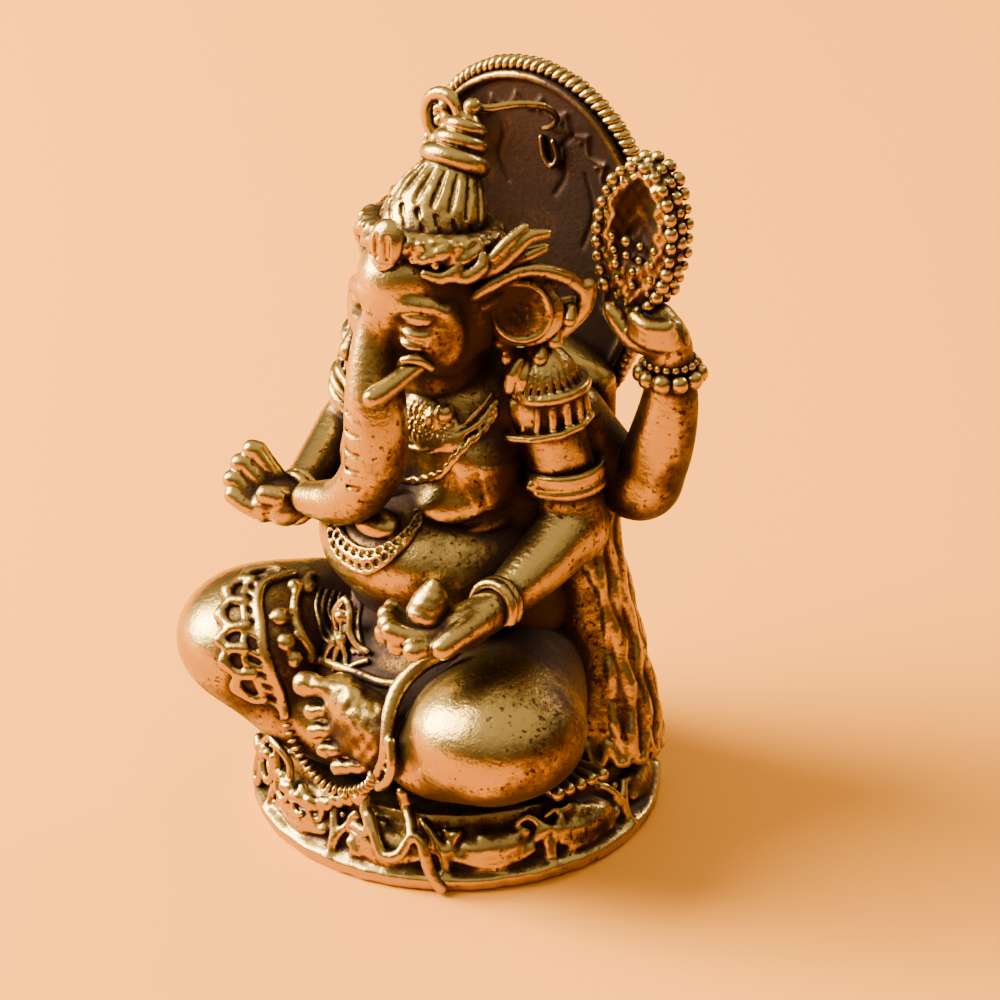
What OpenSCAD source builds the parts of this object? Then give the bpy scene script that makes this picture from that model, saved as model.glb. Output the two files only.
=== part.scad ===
// Seated elephant-headed deity on a lotus plinth, in front of an arched back plate.
// +Z up, the figure faces -Y, its left hand is on +X. Origin: middle of the plinth's underside.
// The masses are cut back where they meet, so that neighbours touch and don't overlap.

/* [Stand] */
// Radius of the plinth at the floor
base_r = 13.3; // [13:0.1:14]
// Height of the plinth
base_h = 4.4; // [4.2:0.1:5]
// Height of the plinth's plain rim
rim_h = 0.9; // [0.6:0.1:1.3]
// Number of lotus petals round the plinth
petal_count = 11; // [9:1:13]

/* [Back plate] */
// Half width of the arch at its widest
arch_half_w = 8.5; // [8.2:0.1:9.4]
// Height of the arch's top above its widest level
arch_rise = 9.3; // [9:0.1:10]
// Thickness of the back plate
arch_t = 1.4; // [1:0.1:2]
// Radius of the rope rim round the plate
rope_r = 0.75; // [0.6:0.05:0.95]

/* [Body] */
// Radius of the belly, side to side
belly_r = 8.3; // [7.8:0.1:8.8]
// Radius of the knees, seen from above
knee_r = 5.6; // [5.2:0.1:6]
// Half width of the head
head_r = 4.6; // [4.3:0.1:4.9]
// Radius of the trunk halfway down
trunk_r = 1.8; // [1.5:0.1:2]
// Radius of the front upper arms
arm_r = 2.3; // [2:0.1:2.5]
// Radius of the rear forearms
rear_arm_r = 2.1; // [1.8:0.1:2.3]

/* [Crown and ornaments] */
// Radius of the crown's dome where it meets the band
dome_r = 3.6; // [3.4:0.1:4]
// Number of ribs on the crown's dome
rib_count = 18; // [12:1:22]
// Radius of the small beads
bead_r = 0.42; // [0.3:0.02:0.5]
// Number of beads on each wrist string
wrist_beads = 12; // [10:1:14]

/* [Hidden] */

brass = "#b8863f";
bright_brass = "#d8ac62";
dark_brass = "#6e4a22";

limb_sides = 12;
trim_sides = 8;               // small ornaments, fingers and toes
mass_sides = 22;
seat_rise = base_h - 5;      // the figure sits on the plinth's top
arch_y = 8.6;                // middle of the plate's thickness
arch_z = 39.3;               // level where the plate is widest
arch_drop = 14.4;            // the lower outline's half height
band_tilt = 10;              // the crown's band leans back by this many degrees
crown_tilt = 31;             // and its dome and rings by this many

// ---- shared shapes ----

// A ball at q = [x, y, z, radius]
module ball(q, sides = limb_sides)
    translate([q[0], q[1], q[2]]) sphere(q[3], $fn = sides);

// A smooth limb through points [x, y, z, radius]
module limb(path, sides = limb_sides)
    for (i = [0 : len(path) - 2])
        hull() {
            ball(path[i], sides);
            ball(path[i + 1], sides);
        }

// One hull round all the points [x, y, z, radius]
module lump(points, sides = limb_sides)
    hull() for (q = points) ball(q, sides);

// An ellipsoid with middle c and half sizes r
module egg(c, r, sides = mass_sides)
    translate(c) scale(r) sphere(1, $fn = sides);

module left_and_right() {
    children();
    mirror([1, 0, 0]) children();
}

// The right side of the head ornaments lies closer in than the left
right_tuck = 0.84;

module tucked() scale([right_tuck, 1, 1]) mirror([1, 0, 0]) children();

module on_seat() translate([0, 0, seat_rise]) children();

// Points evenly round a level circle
function ring_points(c, r, count) = [
    for (i = [0 : count - 1])
        [c[0] + r * cos(360 * i / count), c[1] + r * sin(360 * i / count), c[2]]];

function with_r(points, r) = [for (p = points) [p[0], p[1], p[2], r]];

// ---- stand ----

module plinth_mass()
    rotate_extrude($fn = 48)
        polygon([
            [0, 0], [base_r, 0], [base_r, rim_h], [base_r - 0.5, rim_h + 0.3],
            [base_r - 1.1, rim_h + 0.3], [base_r - 2.2, base_h - 0.5],
            [base_r - 2.8, base_h], [0, base_h]]);

module base_plinth() color(brass) plinth_mass();

// A broad pointed petal lying on the plinth's sloping side
module petal() {
    foot = base_r - 1.2;
    lump([[foot, -2.4, rim_h + 0.7, 0.4], [foot, 2.4, rim_h + 0.7, 0.4],
          [foot - 0.5, -2, rim_h + 2, 0.45], [foot - 0.5, 2, rim_h + 2, 0.45],
          [foot - 0.9, 0, base_h - 0.7, 0.5]], 6);
}

module lotus_petals()
    color(bright_brass)
        difference() {
            for (i = [0 : petal_count - 1])
                rotate([0, 0, 360 * (i + 0.5) / petal_count]) petal();
            plinth_mass();
        }

// The cloth's beaded hem, hanging over the plinth's front edge
fringe_path = [
    [-9.6, -7.2, 5.8, 0.6], [-8, -9.4, 5.5, 0.7], [-5.6, -11, 5.4, 0.75], [-3, -12, 5.5, 0.8],
    [0, -12.6, 5.6, 0.8], [2.6, -12.5, 6.1, 0.75], [4.6, -12.2, 6.9, 0.7]];

module base_fringe()
    color(bright_brass)
        difference() {
            limb(fringe_path);
            plinth_mass();
            on_seat() legs_mass();
        }

// ---- back ----

// One level of the drape behind the figure: [z, half width, front y, back y]
module drape_slice(s)
    translate([0, (s[2] + s[3]) / 2, s[0]])
        scale([s[1], (s[3] - s[2]) / 2, 1]) cylinder(0.05, 1, 1, $fn = 28);

drape_levels = [
    [base_h, 11.4, 0, 10.6], [7.5, 11, 0.3, 10.6], [12.3, 9.4, 0.8, 10.3], [18.4, 7.8, 1.5, 9.8],
    [25, 7.4, 3, 9.5], [30, 7, 5, 9.2]];

module drape_mass()
    for (i = [0 : len(drape_levels) - 2])
        hull() {
            drape_slice(drape_levels[i]);
            drape_slice(drape_levels[i + 1]);
        }

module back_drape()
    color(brass)
        difference() {
            drape_mass();
            on_seat() {
                belly_mass();
                legs_mass();
                chest_mass();
            }
        }

// The plate's outline: half an ellipse above its widest level, a longer one below
function arch_point(a, inset = 0) = [
    (arch_half_w - inset) * cos(a),
    sin(a) * ((sin(a) > 0 ? arch_rise : arch_drop) - inset)];

arch_first = -55;
arch_sweep = 180 - 2 * arch_first;
outline_steps = 40;
rope_steps = 28;

module arch_panel()
    color(dark_brass)
        on_seat()
            translate([0, arch_y + arch_t / 2, arch_z])
                rotate([90, 0, 0])
                    linear_extrude(arch_t)
                        polygon([for (i = [0 : outline_steps])
                            arch_point(arch_first + arch_sweep * i / outline_steps,
                                       rope_r * 0.85)]);

rope_path = [
    for (i = [0 : rope_steps])
        let (p = arch_point(arch_first + arch_sweep * i / rope_steps))
        [p[0], arch_y, arch_z + p[1], rope_r]];

module arch_rim()
    color(bright_brass)
        on_seat() limb(rope_path, trim_sides);

// ---- body ----

belly_middle = [0, -0.9, 19.8];

module belly_mass() egg(belly_middle, [belly_r, belly_r - 0.6, 4.7]);

module belly()
    color(brass)
        on_seat()
            difference() {
                union() {
                    belly_mass();
                    egg([0, 0.5, 15.2], [7.2, 6.3, 4.4]);
                }
                legs_mass();
            }

module chest_mass() {
    hull() {
        ball([-6, 1.2, 29.4, 2.4]);
        ball([6, 1.2, 30.2, 2.4]);
        ball([0, -0.6, 28.6, 3.7]);
    }
    hull() {
        ball([0, -0.2, 28.4, 4]);
        ball([-4.6, 0.6, 22.5, 3.6]);
        ball([4.6, 0.6, 22.5, 3.6]);
    }
    left_and_right()
        lump([[2.6, -3.6, 25.4, 1.5], [5, -3.4, 25, 1.7], [3.8, -4.4, 24.4, 1.2]]);
}

module chest()
    color(brass)
        on_seat()
            difference() {
                chest_mass();
                belly_mass();
            }

// Hips and lap between the thighs, under the belly
module lap_mass() egg([0, -2.6, 10.8], [9, 7.2, 5.4]);

module waist_cloth()
    color(dark_brass)
        on_seat()
            difference() {
                lap_mass();
                belly_mass();
                egg([0, 0.5, 15.2], [7.2, 6.3, 4.4]);
                legs_mass();
                translate([0, 0, -seat_rise]) {
                    plinth_mass();
                    drape_mass();
                }
            }

left_thigh = [[4.6, 0.5, 10.6, 4.2], [8, -4.6, 11.2, 4.6], [9.5, -7.9, 11.5, 4.1]];
left_shin = [[9.4, -9, 10.3, 3.4], [6, -9.8, 9.6, 2.7], [3.4, -10, 9.8, 2]];
right_thigh = [[-4.6, 0.5, 10.6, 4.2], [-8, -4.6, 11.4, 4.6], [-9.8, -7.4, 11.7, 4.1]];
right_shin = [[-9.4, -8.4, 10.8, 3.6], [-6, -8.6, 8.4, 2.8], [-1, -8.2, 7.2, 2.2]];

module knee(c) egg(c, [knee_r, knee_r, 4.3]);

module left_leg_mass() {
    knee([9.4, -7.9, 11.6]);
    limb(left_thigh);
    limb(left_shin);
}

module right_leg_mass() {
    knee([-9.8, -7.6, 11.8]);
    limb(right_thigh);
    limb(right_shin);
}

module legs_mass() {
    left_leg_mass();
    right_leg_mass();
}

module left_leg()
    color(bright_brass)
        difference() {
            on_seat() left_leg_mass();
            plinth_mass();
            on_seat() right_leg_mass();
        }

module right_leg()
    color(bright_brass)
        difference() {
            on_seat() right_leg_mass();
            plinth_mass();
        }

// The folded left foot: sole to the front, toes towards the figure's right, big toe on top
toe_tips = [
    [-2.8, -11.4, 12.7, 0.85], [-2.9, -11.7, 10.9, 0.62], [-2.3, -11.8, 9.6, 0.58],
    [-1.4, -11.8, 8.5, 0.55], [-0.3, -11.7, 7.5, 0.52]];

module left_foot()
    color(bright_brass)
        on_seat()
            difference() {
                union() {
                    lump([[0.4, -10.6, 12.2, 1.2], [0.6, -10.8, 9, 1.2], [4.4, -9.9, 11.4, 1.3],
                          [4.2, -9.9, 9.8, 1.3]]);
                    for (t = toe_tips)
                        limb([t, [t[0] + 2.4, t[1] + 0.7, t[2] + 0.2, t[3]]], trim_sides);
                }
                legs_mass();
            }

// Toes of the right foot, showing under the left knee
module right_foot()
    color(bright_brass)
        on_seat()
            difference() {
                union() {
                    lump([[8.6, -4.4, 5.9, 1], [10, -2.2, 5.8, 0.9]]);
                    for (i = [0 : 4])
                        limb([[9.4, -3.6 + 0.8 * i, 5.8, 0.62],
                              [10.3 + 0.2 * i, -4 + 0.9 * i, 5.7, 0.6]], trim_sides);
                }
                left_leg_mass();
                translate([0, 0, -seat_rise]) plinth_mass();
            }

// ---- head ----

module head_mass() {
    egg([0, -2.4, 37.4], [head_r, 4.6, 4.8]);
    egg([0, -4.6, 39], [3.3, 2.9, 2.6]);
    lump([[0, -1.4, 32.6, 3.1], [0, -2.2, 36, 3.6]]);
    left_and_right() {
        lump([[2.4, -4, 35.4, 1.9], [3, -3, 36.6, 1.8]]);
        limb([[0.9, -7, 37.9, 0.5], [2.4, -6.6, 38.4, 0.5], [3.7, -5.2, 38, 0.5]]);
    }
}

trunk_path = [
    [0, -5.4, 38, 1.7], [-0.2, -6.4, 35.6, trunk_r - 0.45], [-0.1, -7.1, 33.6, trunk_r - 0.4],
    [0, -7.6, 31.8, trunk_r - 0.1], [0.1, -7.8, 29.8, trunk_r], [0, -7.8, 27.6, trunk_r],
    [-0.8, -8, 25.6, trunk_r - 0.1], [-2.2, -8.1, 24.3, trunk_r - 0.3],
    [-3.8, -8, 23.8, trunk_r - 0.55], [-5.4, -7.9, 23.4, trunk_r - 0.8]];

module trunk_mass() limb(trunk_path);

module head()
    color(brass)
        on_seat()
            difference() {
                head_mass();
                chest_mass();
                crown_cap();
            }

module trunk()
    color(bright_brass)
        on_seat()
            difference() {
                trunk_mass();
                head_mass();
                chest_mass();
                belly_mass();
            }

module tusk_mass() limb([
    [2.9, -6, 34.9, 0.8], [2.6, -7.4, 34.2, 0.78], [2.3, -8.9, 33.5, 0.72],
         [2.1, -10, 33, 0.6]], trim_sides);

module tusk_shape()
    difference() {
        tusk_mass();
        head_mass();
        trunk_mass();
    }

module left_tusk() color(bright_brass) on_seat() tusk_shape();

// The right tusk is broken off short
module right_tusk()
    color(bright_brass)
        on_seat()
            difference() {
                limb([[-2.7, -5.4, 35, 0.8], [-2.5, -6.4, 34.6, 0.8], [-2.4, -7.2, 34.2, 0.75]]);
                head_mass();
                trunk_mass();
            }

// Fan-shaped ear, swept back, with a thick upper edge and a round dished middle
module ear_mass()
    difference() {
        union() {
            lump([[4.2, -2.8, 38.2, 0.5], [6.4, 0.2, 39.3, 0.5], [8.1, 2.6, 37.6, 0.45],
                  [7.4, 1.8, 34.6, 0.45], [5.7, 0.3, 33, 0.45],
                       [4.4, -1.6, 34.6, 0.5]], trim_sides);
            limb([[4.2, -3, 38.3, 0.6], [6.4, 0, 39.8, 0.62], [8.3, 2.6, 37.9, 0.6],
                  [7.8, 2.4, 36.4, 0.55], [7.3, 1.5, 34.5, 0.5], [6, 0.3, 32.9, 0.5]], trim_sides);
        }
        translate([6.9, -1.4, 36.6])
            rotate([90, 0, 60]) cylinder(1.4, 1.4, 1.9, center = true, $fn = 24);
    }

module left_ear()
    color(brass)
        on_seat()
            difference() {
                ear_mass();
                head_mass();
                chest_mass();
            }

module right_ear()
    color(brass)
        on_seat()
            difference() {
                tucked() ear_mass();
                head_mass();
                chest_mass();
            }

// Two long drops hanging from the ear's lower tip
module earring_mass() {
    limb([[6, -0.9, 33.4, 0.42], [5.8, -1.2, 32.4, 0.6], [5.7, -1.3, 31.8, 0.45]], trim_sides);
    limb([[6.6, -0.4, 33.2, 0.42], [6.6, -0.6, 32.2, 0.6], [6.6, -0.7, 31.6, 0.45]], trim_sides);
}

module earring_shape()
    difference() {
        earring_mass();
        ear_mass();
    }

module left_earring()
    color(bright_brass)
        on_seat()
            difference() {
                earring_shape();
                chest_mass();
                shoulder_mass();
            }

module right_earring()
    color(bright_brass)
        on_seat()
            difference() {
                tucked() earring_shape();
                chest_mass();
                shoulder_mass();
            }

// ---- crown ----

band_c = [0, -2.2, 41.2];
dome_levels = [[0, dome_r], [1.4, dome_r], [2.8, dome_r * 0.82], [3.8, dome_r * 0.55]];

// Places a shape on the crown's leaning axis, up by rise from the band
module on_crown(rise, tilt = crown_tilt)
    translate(band_c) rotate([-tilt, 0, 0]) translate([0, 0, rise]) children();

module crown_cap()
    on_crown(-0.6)
        rotate_extrude($fn = 40)
            polygon(concat([[0, 0], [dome_r, 0]],
                [for (l = dome_levels) [l[1], l[0] + 0.6]], [[0, 4.4]]));

module crown_dome()
    color(bright_brass)
        on_seat() {
            on_crown(-0.6)
                rotate_extrude($fn = 48)
                    polygon(concat([[0, 0], [dome_r - 0.2, 0]],
                        [for (l = dome_levels) [l[1] - 0.2, l[0] + 0.6]], [[0, 4.4]]));
            on_crown(0)
                for (i = [0 : rib_count - 1])
                    rotate([0, 0, 360 * i / rib_count])
                        translate([dome_r * 0.87, 0, 2.3])
                            rotate([0, -30, 0]) cylinder(2.6, 0.34, 0.26, center = true, $fn = 16);
        }

module crown_band()
    color(brass)
        on_seat()
            on_crown(-0.3, band_tilt)
                rotate_extrude($fn = 48)
                    polygon([[dome_r, -0.7], [dome_r + 0.6, -0.7], [dome_r + 0.75, 0],
                             [dome_r + 0.5, 0.8], [dome_r, 0.8]]);

module crown_jewel()
    color(bright_brass)
        on_seat()
            difference() {
                lump([[0, -7.1, 41.3, 0.75], [0, -7.1, 42.5, 0.75], [-0.45, -6.9, 42, 0.75],
                      [0.45, -6.9, 42, 0.75]]);
                on_crown(-0.3, band_tilt)
                    cylinder(3.4, dome_r + 0.75, dome_r + 0.75, center = true, $fn = 48);
                for (x = [-0.4, 0.4])
                    translate([x, -7.9, 41.9]) cube([0.3, 0.8, 1.3], center = true);
            }

// Leafy curls that sweep back from the band over each ear
module scroll_mass() {
    limb([[3.6, -5, 40.4, 0.55], [4.6, -3.6, 40.2, 0.75], [5.2, -2.2, 40.5, 0.6]], trim_sides);
    limb([[4.9, -2.6, 40.2, 0.5], [5.7, -1, 41, 0.75], [6, 0.6, 41.6, 0.6],
          [6.3, 1.4, 41.2, 0.4]], trim_sides);
    limb([[5, -2, 39.8, 0.45], [5.8, -0.6, 40.2, 0.6], [6.3, 0.6, 40.4, 0.4]], trim_sides);
}

module crown_scrolls()
    color(bright_brass)
        on_seat()
            difference() {
                scroll_mass();
                tucked() scroll_mass();
                on_crown(-0.3, band_tilt)
                    cylinder(3.4, dome_r + 0.75, dome_r + 0.75, center = true, $fn = 36);
                head_mass();
                ear_mass();
                tucked() ear_mass();
            }

// Stacked rings that get smaller upwards: [rise, outer radius, half height]
crown_tiers = [[4.55, 2.25, 0.75], [5.85, 1.65, 0.55], [6.9, 1.25, 0.5]];

module crown_rings()
    color(bright_brass)
        on_seat()
            for (t = crown_tiers)
                on_crown(t[0])
                    rotate_extrude($fn = 36)
                        polygon(concat([[0, -t[2]]],
                            [for (a = [-90 : 15 : 90])
                                [t[1] - t[2] + t[2] * cos(a), t[2] * sin(a)]], [[0, t[2]]]));

module crown_finial()
    color(bright_brass)
        on_seat() {
            on_crown(7.3) cylinder(0.6, 0.5, 0.4, $fn = 24);
            on_crown(8) sphere(0.62, $fn = 24);
        }

// Ribbon loop behind the finial, joining the crown to the back plate
module crown_ribbon()
    color(brass)
        on_seat()
            limb([[0.6, 3, 47.6, 0.32], [2.4, 4.2, 48, 0.32], [3.4, 5, 47.2, 0.32],
                  [2.8, 5.4, 46, 0.32], [1.4, 6.6, 44.8, 0.32], [0.8, 7.6, 44.4, 0.4]], trim_sides);

// ---- front arms ----

left_arm_path = [
    [6.7, 0.4, 30.5, arm_r + 0.1], [7.4, 0.7, 27.6, arm_r], [8, 0.9, 24.8, arm_r],
    [8.4, 0.7, 22.6, arm_r - 0.1], [8.5, -1.2, 21.6, arm_r - 0.3], [8.5, -3.6, 20.7, 1.75],
    [8.3, -6, 19.8, 1.4]];
right_arm_path = [
    [-6.6, 1.4, 29.4, arm_r], [-8, 1.8, 27, arm_r - 0.2], [-9.4, 1.9, 24.6, arm_r - 0.3],
    [-10, 1.5, 23.2, arm_r - 0.3], [-9.6, -0.6, 22.8, 1.8], [-8.8, -3.4, 22.3, 1.6],
    [-8, -6, 21.9, 1.4]];

module shoulder_mass() {
    limb(left_arm_path);
    limb(right_arm_path);
}

module front_left_arm()
    color(brass)
        on_seat()
            difference() {
                limb(left_arm_path);
                chest_mass();
                belly_mass();
                legs_mass();
            }

module front_right_arm()
    color(brass)
        on_seat()
            difference() {
                limb(right_arm_path);
                chest_mass();
                belly_mass();
            }

// Left hand, palm up on the knee, fingers towards the middle
left_fingers = [
    [[6.4, -10.6, 18.9, 0.72], [4.4, -12, 18.9, 0.7], [3.9, -12.3, 19.4, 0.6]],
    [[5.8, -10.2, 18.7, 0.72], [3.7, -11.2, 18.8, 0.7], [3.2, -11.4, 19.4, 0.6]],
    [[5.3, -9.6, 18.7, 0.7], [3.3, -10.2, 18.8, 0.65], [2.8, -10.4, 19.4, 0.55]]];

module left_hand_mass() {
    lump([[8.4, -7, 19.5, 1.3], [7.4, -9.6, 18.8, 1.2], [5.6, -9.4, 18.6, 1.1],
          [6.8, -11, 18.8, 1]]);
    for (f = left_fingers) limb(f, trim_sides);
    limb([[8, -9.2, 19.4, 0.85], [7.3, -11.2, 19.6, 0.85], [6.4, -12, 19.5, 0.7]], trim_sides);
}

module front_left_hand()
    color(bright_brass)
        on_seat()
            difference() {
                left_hand_mass();
                limb(left_arm_path);
                belly_mass();
                legs_mass();
            }

// A pointed sweet lying in the left palm
module sweet()
    color(bright_brass)
        on_seat()
            difference() {
                lump([[5.7, -10.1, 20, 1.25], [5.9, -9.8, 21.6, 0.45]]);
                left_hand_mass();
                belly_mass();
            }

// Right hand, raised and turned out, fingers up
right_fingers = [
    [[-8.4, -7.4, 23.2, 0.72], [-9.6, -7.6, 25, 0.66], [-10.2, -7.9, 25.4, 0.6]],
    [[-8.8, -7.9, 22.7, 0.72], [-10.3, -8.1, 24.3, 0.66], [-10.6, -8.5, 24.8, 0.58]],
    [[-8.8, -8.5, 22.1, 0.7], [-10.4, -8.7, 23.5, 0.64], [-10.6, -9.1, 24, 0.56]],
    [[-8.4, -9, 21.6, 0.66], [-10, -9.3, 22.6, 0.6], [-10.2, -9.7, 23.1, 0.52]]];

module front_right_hand()
    color(bright_brass)
        on_seat()
            difference() {
                union() {
                    lump([[-7.8, -6.2, 21.8, 1.3], [-8.4, -7.4, 22.6, 1], [-8.3, -8.8, 21.6, 0.95]]);
                    for (f = right_fingers) limb(f, trim_sides);
                    limb([[-7.4, -7.8, 22.2, 0.95], [-7.2, -8.8, 22.8, 0.8],
                         [-7.7, -9.4, 23, 0.6]], trim_sides);
                }
                limb(right_arm_path);
                trunk_mass();
            }

// ---- rear arms and what they hold ----

rear_left_path = [
    [6.8, 3.4, 28.4, 2.1], [8.6, 4.6, 25.4, 2.1], [10.2, 5.2, 23.9, rear_arm_r + 0.1],
    [11.2, 5.2, 24.8, rear_arm_r + 0.1], [12.3, 5, 27.6, rear_arm_r], [12.9, 5, 30.4, rear_arm_r - 0.3],
    [13, 5, 32.6, rear_arm_r - 0.6]];
rear_right_path = [
    [-6.4, 3.8, 28, 2], [-8, 5, 25.6, 2], [-9, 5.6, 25.6, rear_arm_r - 0.1],
    [-9, 5.8, 28.4, rear_arm_r - 0.3], [-8.4, 5.9, 32, rear_arm_r - 0.5],
    [-8, 6, 35.2, rear_arm_r - 0.7]];

module rear_arm(path)
    color(brass)
        on_seat()
            difference() {
                limb(path);
                chest_mass();
                limb(left_arm_path);
                limb(right_arm_path);
                translate([0, 0, -seat_rise]) drape_mass();
                translate([0, arch_y, arch_z]) cube([30, arch_t, 60], center = true);
            }

module rear_left_arm() rear_arm(rear_left_path);

module rear_right_arm() rear_arm(rear_right_path);

module rear_left_hand()
    color(bright_brass)
        on_seat()
            difference() {
                union() {
                    lump([[13, 5, 33.2, 1.3], [12.6, 4.4, 35.2, 1.4], [11.6, 4.2, 36, 1.1]]);
                    limb([[11.8, 3.8, 35.4, 0.8], [10.6, 3.4, 35.4, 0.72],
                         [9.8, 3.4, 36.2, 0.6]], trim_sides);
                    limb([[13.2, 3.6, 35.6, 0.7], [12.6, 2.9, 36.4, 0.65],
                         [11.6, 2.8, 36.8, 0.6]], trim_sides);
                }
                limb(rear_left_path);
                noose_body();
            }

module rear_right_hand()
    color(bright_brass)
        on_seat()
            difference() {
                union() {
                    lump([[-8, 6, 35.8, 1.2], [-7.8, 6, 38, 1.2]]);
                    limb([[-7.6, 5.2, 38.4, 0.65], [-7.2, 4.9, 39.6, 0.6],
                         [-7.3, 5.4, 40.4, 0.55]], trim_sides);
                    limb([[-8.4, 5.4, 38.4, 0.65], [-8.1, 5.1, 39.8, 0.6],
                         [-8, 5.6, 40.6, 0.55]], trim_sides);
                }
                limb(rear_right_path);
                translate([0, arch_y, arch_z]) cube([30, arch_t, 60], center = true);
                goad_shaft();
            }

noose_c = [11, 4.6, 41.5];
noose_half = [3.2, 5.1];
noose_depth = 3;

// Places the noose: upright, leaning slightly outwards, its face to the front
module noose_place() translate(noose_c) rotate([90, 6, 0]) children();

module noose_body()
    noose_place()
        linear_extrude(noose_depth, center = true)
            scale([noose_half[0] - 0.3, noose_half[1] - 0.3]) circle(1, $fn = 28);

// Oval noose with a sunk middle and rows of beads round its edge
module noose()
    color(bright_brass)
        on_seat() {
            difference() {
                noose_body();
                noose_place()
                    translate([0, 0.9, noose_depth / 2])
                        linear_extrude(2.4, center = true)
                            scale([1.5, 2.4]) circle(1, $fn = 24);
            }
            for (row = [0 : 2], i = [0 : 23])
                noose_place()
                    translate([noose_half[0] * cos(15 * i), noose_half[1] * sin(15 * i),
                               (row - 1) * noose_depth * 0.36])
                        sphere(bead_r, $fn = 16);
        }

goad_c = [-5.9, 6.5, 44.2];

module goad_shaft() limb([[-7.6, 6.1, 38.2, 0.5], [-6.3, 6.4, 42.5, 0.5]], trim_sides);

// Curled head of the goad on a short shaft
module goad_head()
    color(bright_brass)
        on_seat()
            difference() {
                union() {
                    goad_shaft();
                    limb(with_r([for (a = [-90 : 30 : 240])
                                     [goad_c[0] + 1.35 * cos(a), goad_c[1],
                                      goad_c[2] + 1.55 * sin(a)]], 0.5),
                         trim_sides);
                    limb([[goad_c[0], goad_c[1], goad_c[2] - 1.5, 0.5],
                         [goad_c[0], goad_c[1], goad_c[2], 0.7]], trim_sides);
                }
                translate([0, arch_y, arch_z]) cube([30, arch_t, 60], center = true);
            }

// ---- ornaments ----

function hanging(half_w, top_z, drop, front_y, count) = [
    for (i = [0 : count])
        let (u = 2 * i / count - 1)
        [half_w * u, front_y * (1 - 0.75 * u * u), top_z - drop * (1 - u * u)]];

module necklaces()
    color(bright_brass)
        on_seat()
            difference() {
                union() {
                    limb(with_r(hanging(4.6, 30, 2.9, -4.5, 8), 0.35), trim_sides);
                    limb(with_r(hanging(5.2, 29.4, 3.9, -4.9, 8), 0.42), trim_sides);
                }
                chest_mass();
                trunk_mass();
            }

module belly_garland()
    color(bright_brass)
        on_seat()
            difference() {
                limb([[-5, -6.6, 22.6, 0.5], [-4.1, -7.6, 20.9, 0.8], [-2.4, -8.3, 19.8, 0.95],
                      [0, -8.6, 19.5, 1], [2.2, -8.3, 20.2, 0.95], [3.6, -7.4, 21.8, 0.8],
                      [4.2, -6.2, 23.4, 0.5]], trim_sides);
                belly_mass();
                chest_mass();
                trunk_mass();
            }

// Stacked pleated collars over each shoulder: [x, y, z, outer radius, height]
module cuff(q, tilt)
    translate([q[0], q[1], q[2]])
        rotate([0, tilt, 0])
            cylinder(q[4], q[3], q[3] + 0.15, center = true, $fn = 24);

left_cuffs = [[6.7, 0.5, 31.2, 2.65, 0.8], [7.1, 0.6, 29.2, 2.9, 0.8]];
right_cuffs = [[-6.9, 1.5, 29.6, 2.65, 0.7], [-7.5, 1.6, 28.2, 2.8, 0.7]];

module epaulets()
    color(bright_brass)
        on_seat()
            difference() {
                union() {
                    for (q = left_cuffs) cuff(q, -14);
                    for (q = right_cuffs) cuff(q, 26);
                }
                shoulder_mass();
                chest_mass();
                limb(rear_left_path);
                limb(rear_right_path);
                earring_mass();
                ear_mass();
                tucked() {
                    earring_mass();
                    ear_mass();
                }
                head_mass();
            }

module armlets()
    color(bright_brass)
        on_seat()
            difference() {
                union() {
                    cuff([7.8, 0.8, 26.1, arm_r + 0.45, 1.4], -12);
                    cuff([-8.6, 1.8, 26, arm_r + 0.25, 1.1], 32);
                }
                shoulder_mass();
                chest_mass();
                limb(rear_left_path);
                limb(rear_right_path);
            }

module bangle(c, r, turn)
    translate(c) rotate(turn) rotate_extrude($fn = 28) translate([r, 0]) circle(0.5, $fn = 16);

module wrist_bangles()
    color(bright_brass)
        on_seat() {
            bangle([8.3, -6.4, 19.7], 1.5, [76, 0, 4]);
            bangle([-8, -6.4, 21.8], 1.55, [80, 0, -12]);
        }

module bead_string(c, r)
    for (p = ring_points(c, r, wrist_beads))
        translate(p) sphere(bead_r * 1.6, $fn = 10);

module rear_bracelets()
    color(bright_brass)
        on_seat() {
            bead_string([13, 4.9, 32.5], 1.75);
            bead_string([-8.1, 5.2, 34.6], 1.4);
        }

// Looped knot with two beads and hanging strands, under the belly
module waist_tassel()
    color(bright_brass)
        on_seat()
            difference() {
                union() {
                    limb([[-1.9, -9.3, 14.2, 0.35], [-2.1, -9, 15.6, 0.35], [-1.3, -8.9, 16.5, 0.35],
                          [-0.5, -9.1, 15.8, 0.35], [0.1, -9.8, 14.4, 0.35]], trim_sides);
                    limb([[-1.3, -9.6, 14, 0.5], [-1.6, -9.8, 13.2, 0.35],
                         [-1.7, -10, 12.6, 0.3]], trim_sides);
                    limb([[-1, -9.6, 14, 0.4], [-0.6, -9.9, 13.2, 0.35],
                         [-0.4, -10.2, 12.4, 0.3]], trim_sides);
                    lump([[-1.2, -9.2, 15.4, 0.55], [-1.2, -9.3, 15.1, 0.55]], trim_sides);
                    lump([[-1.2, -9.5, 14.2, 0.5], [-1.2, -9.5, 14, 0.5]], trim_sides);
                }
                lap_mass();
                belly_mass();
            }

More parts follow.
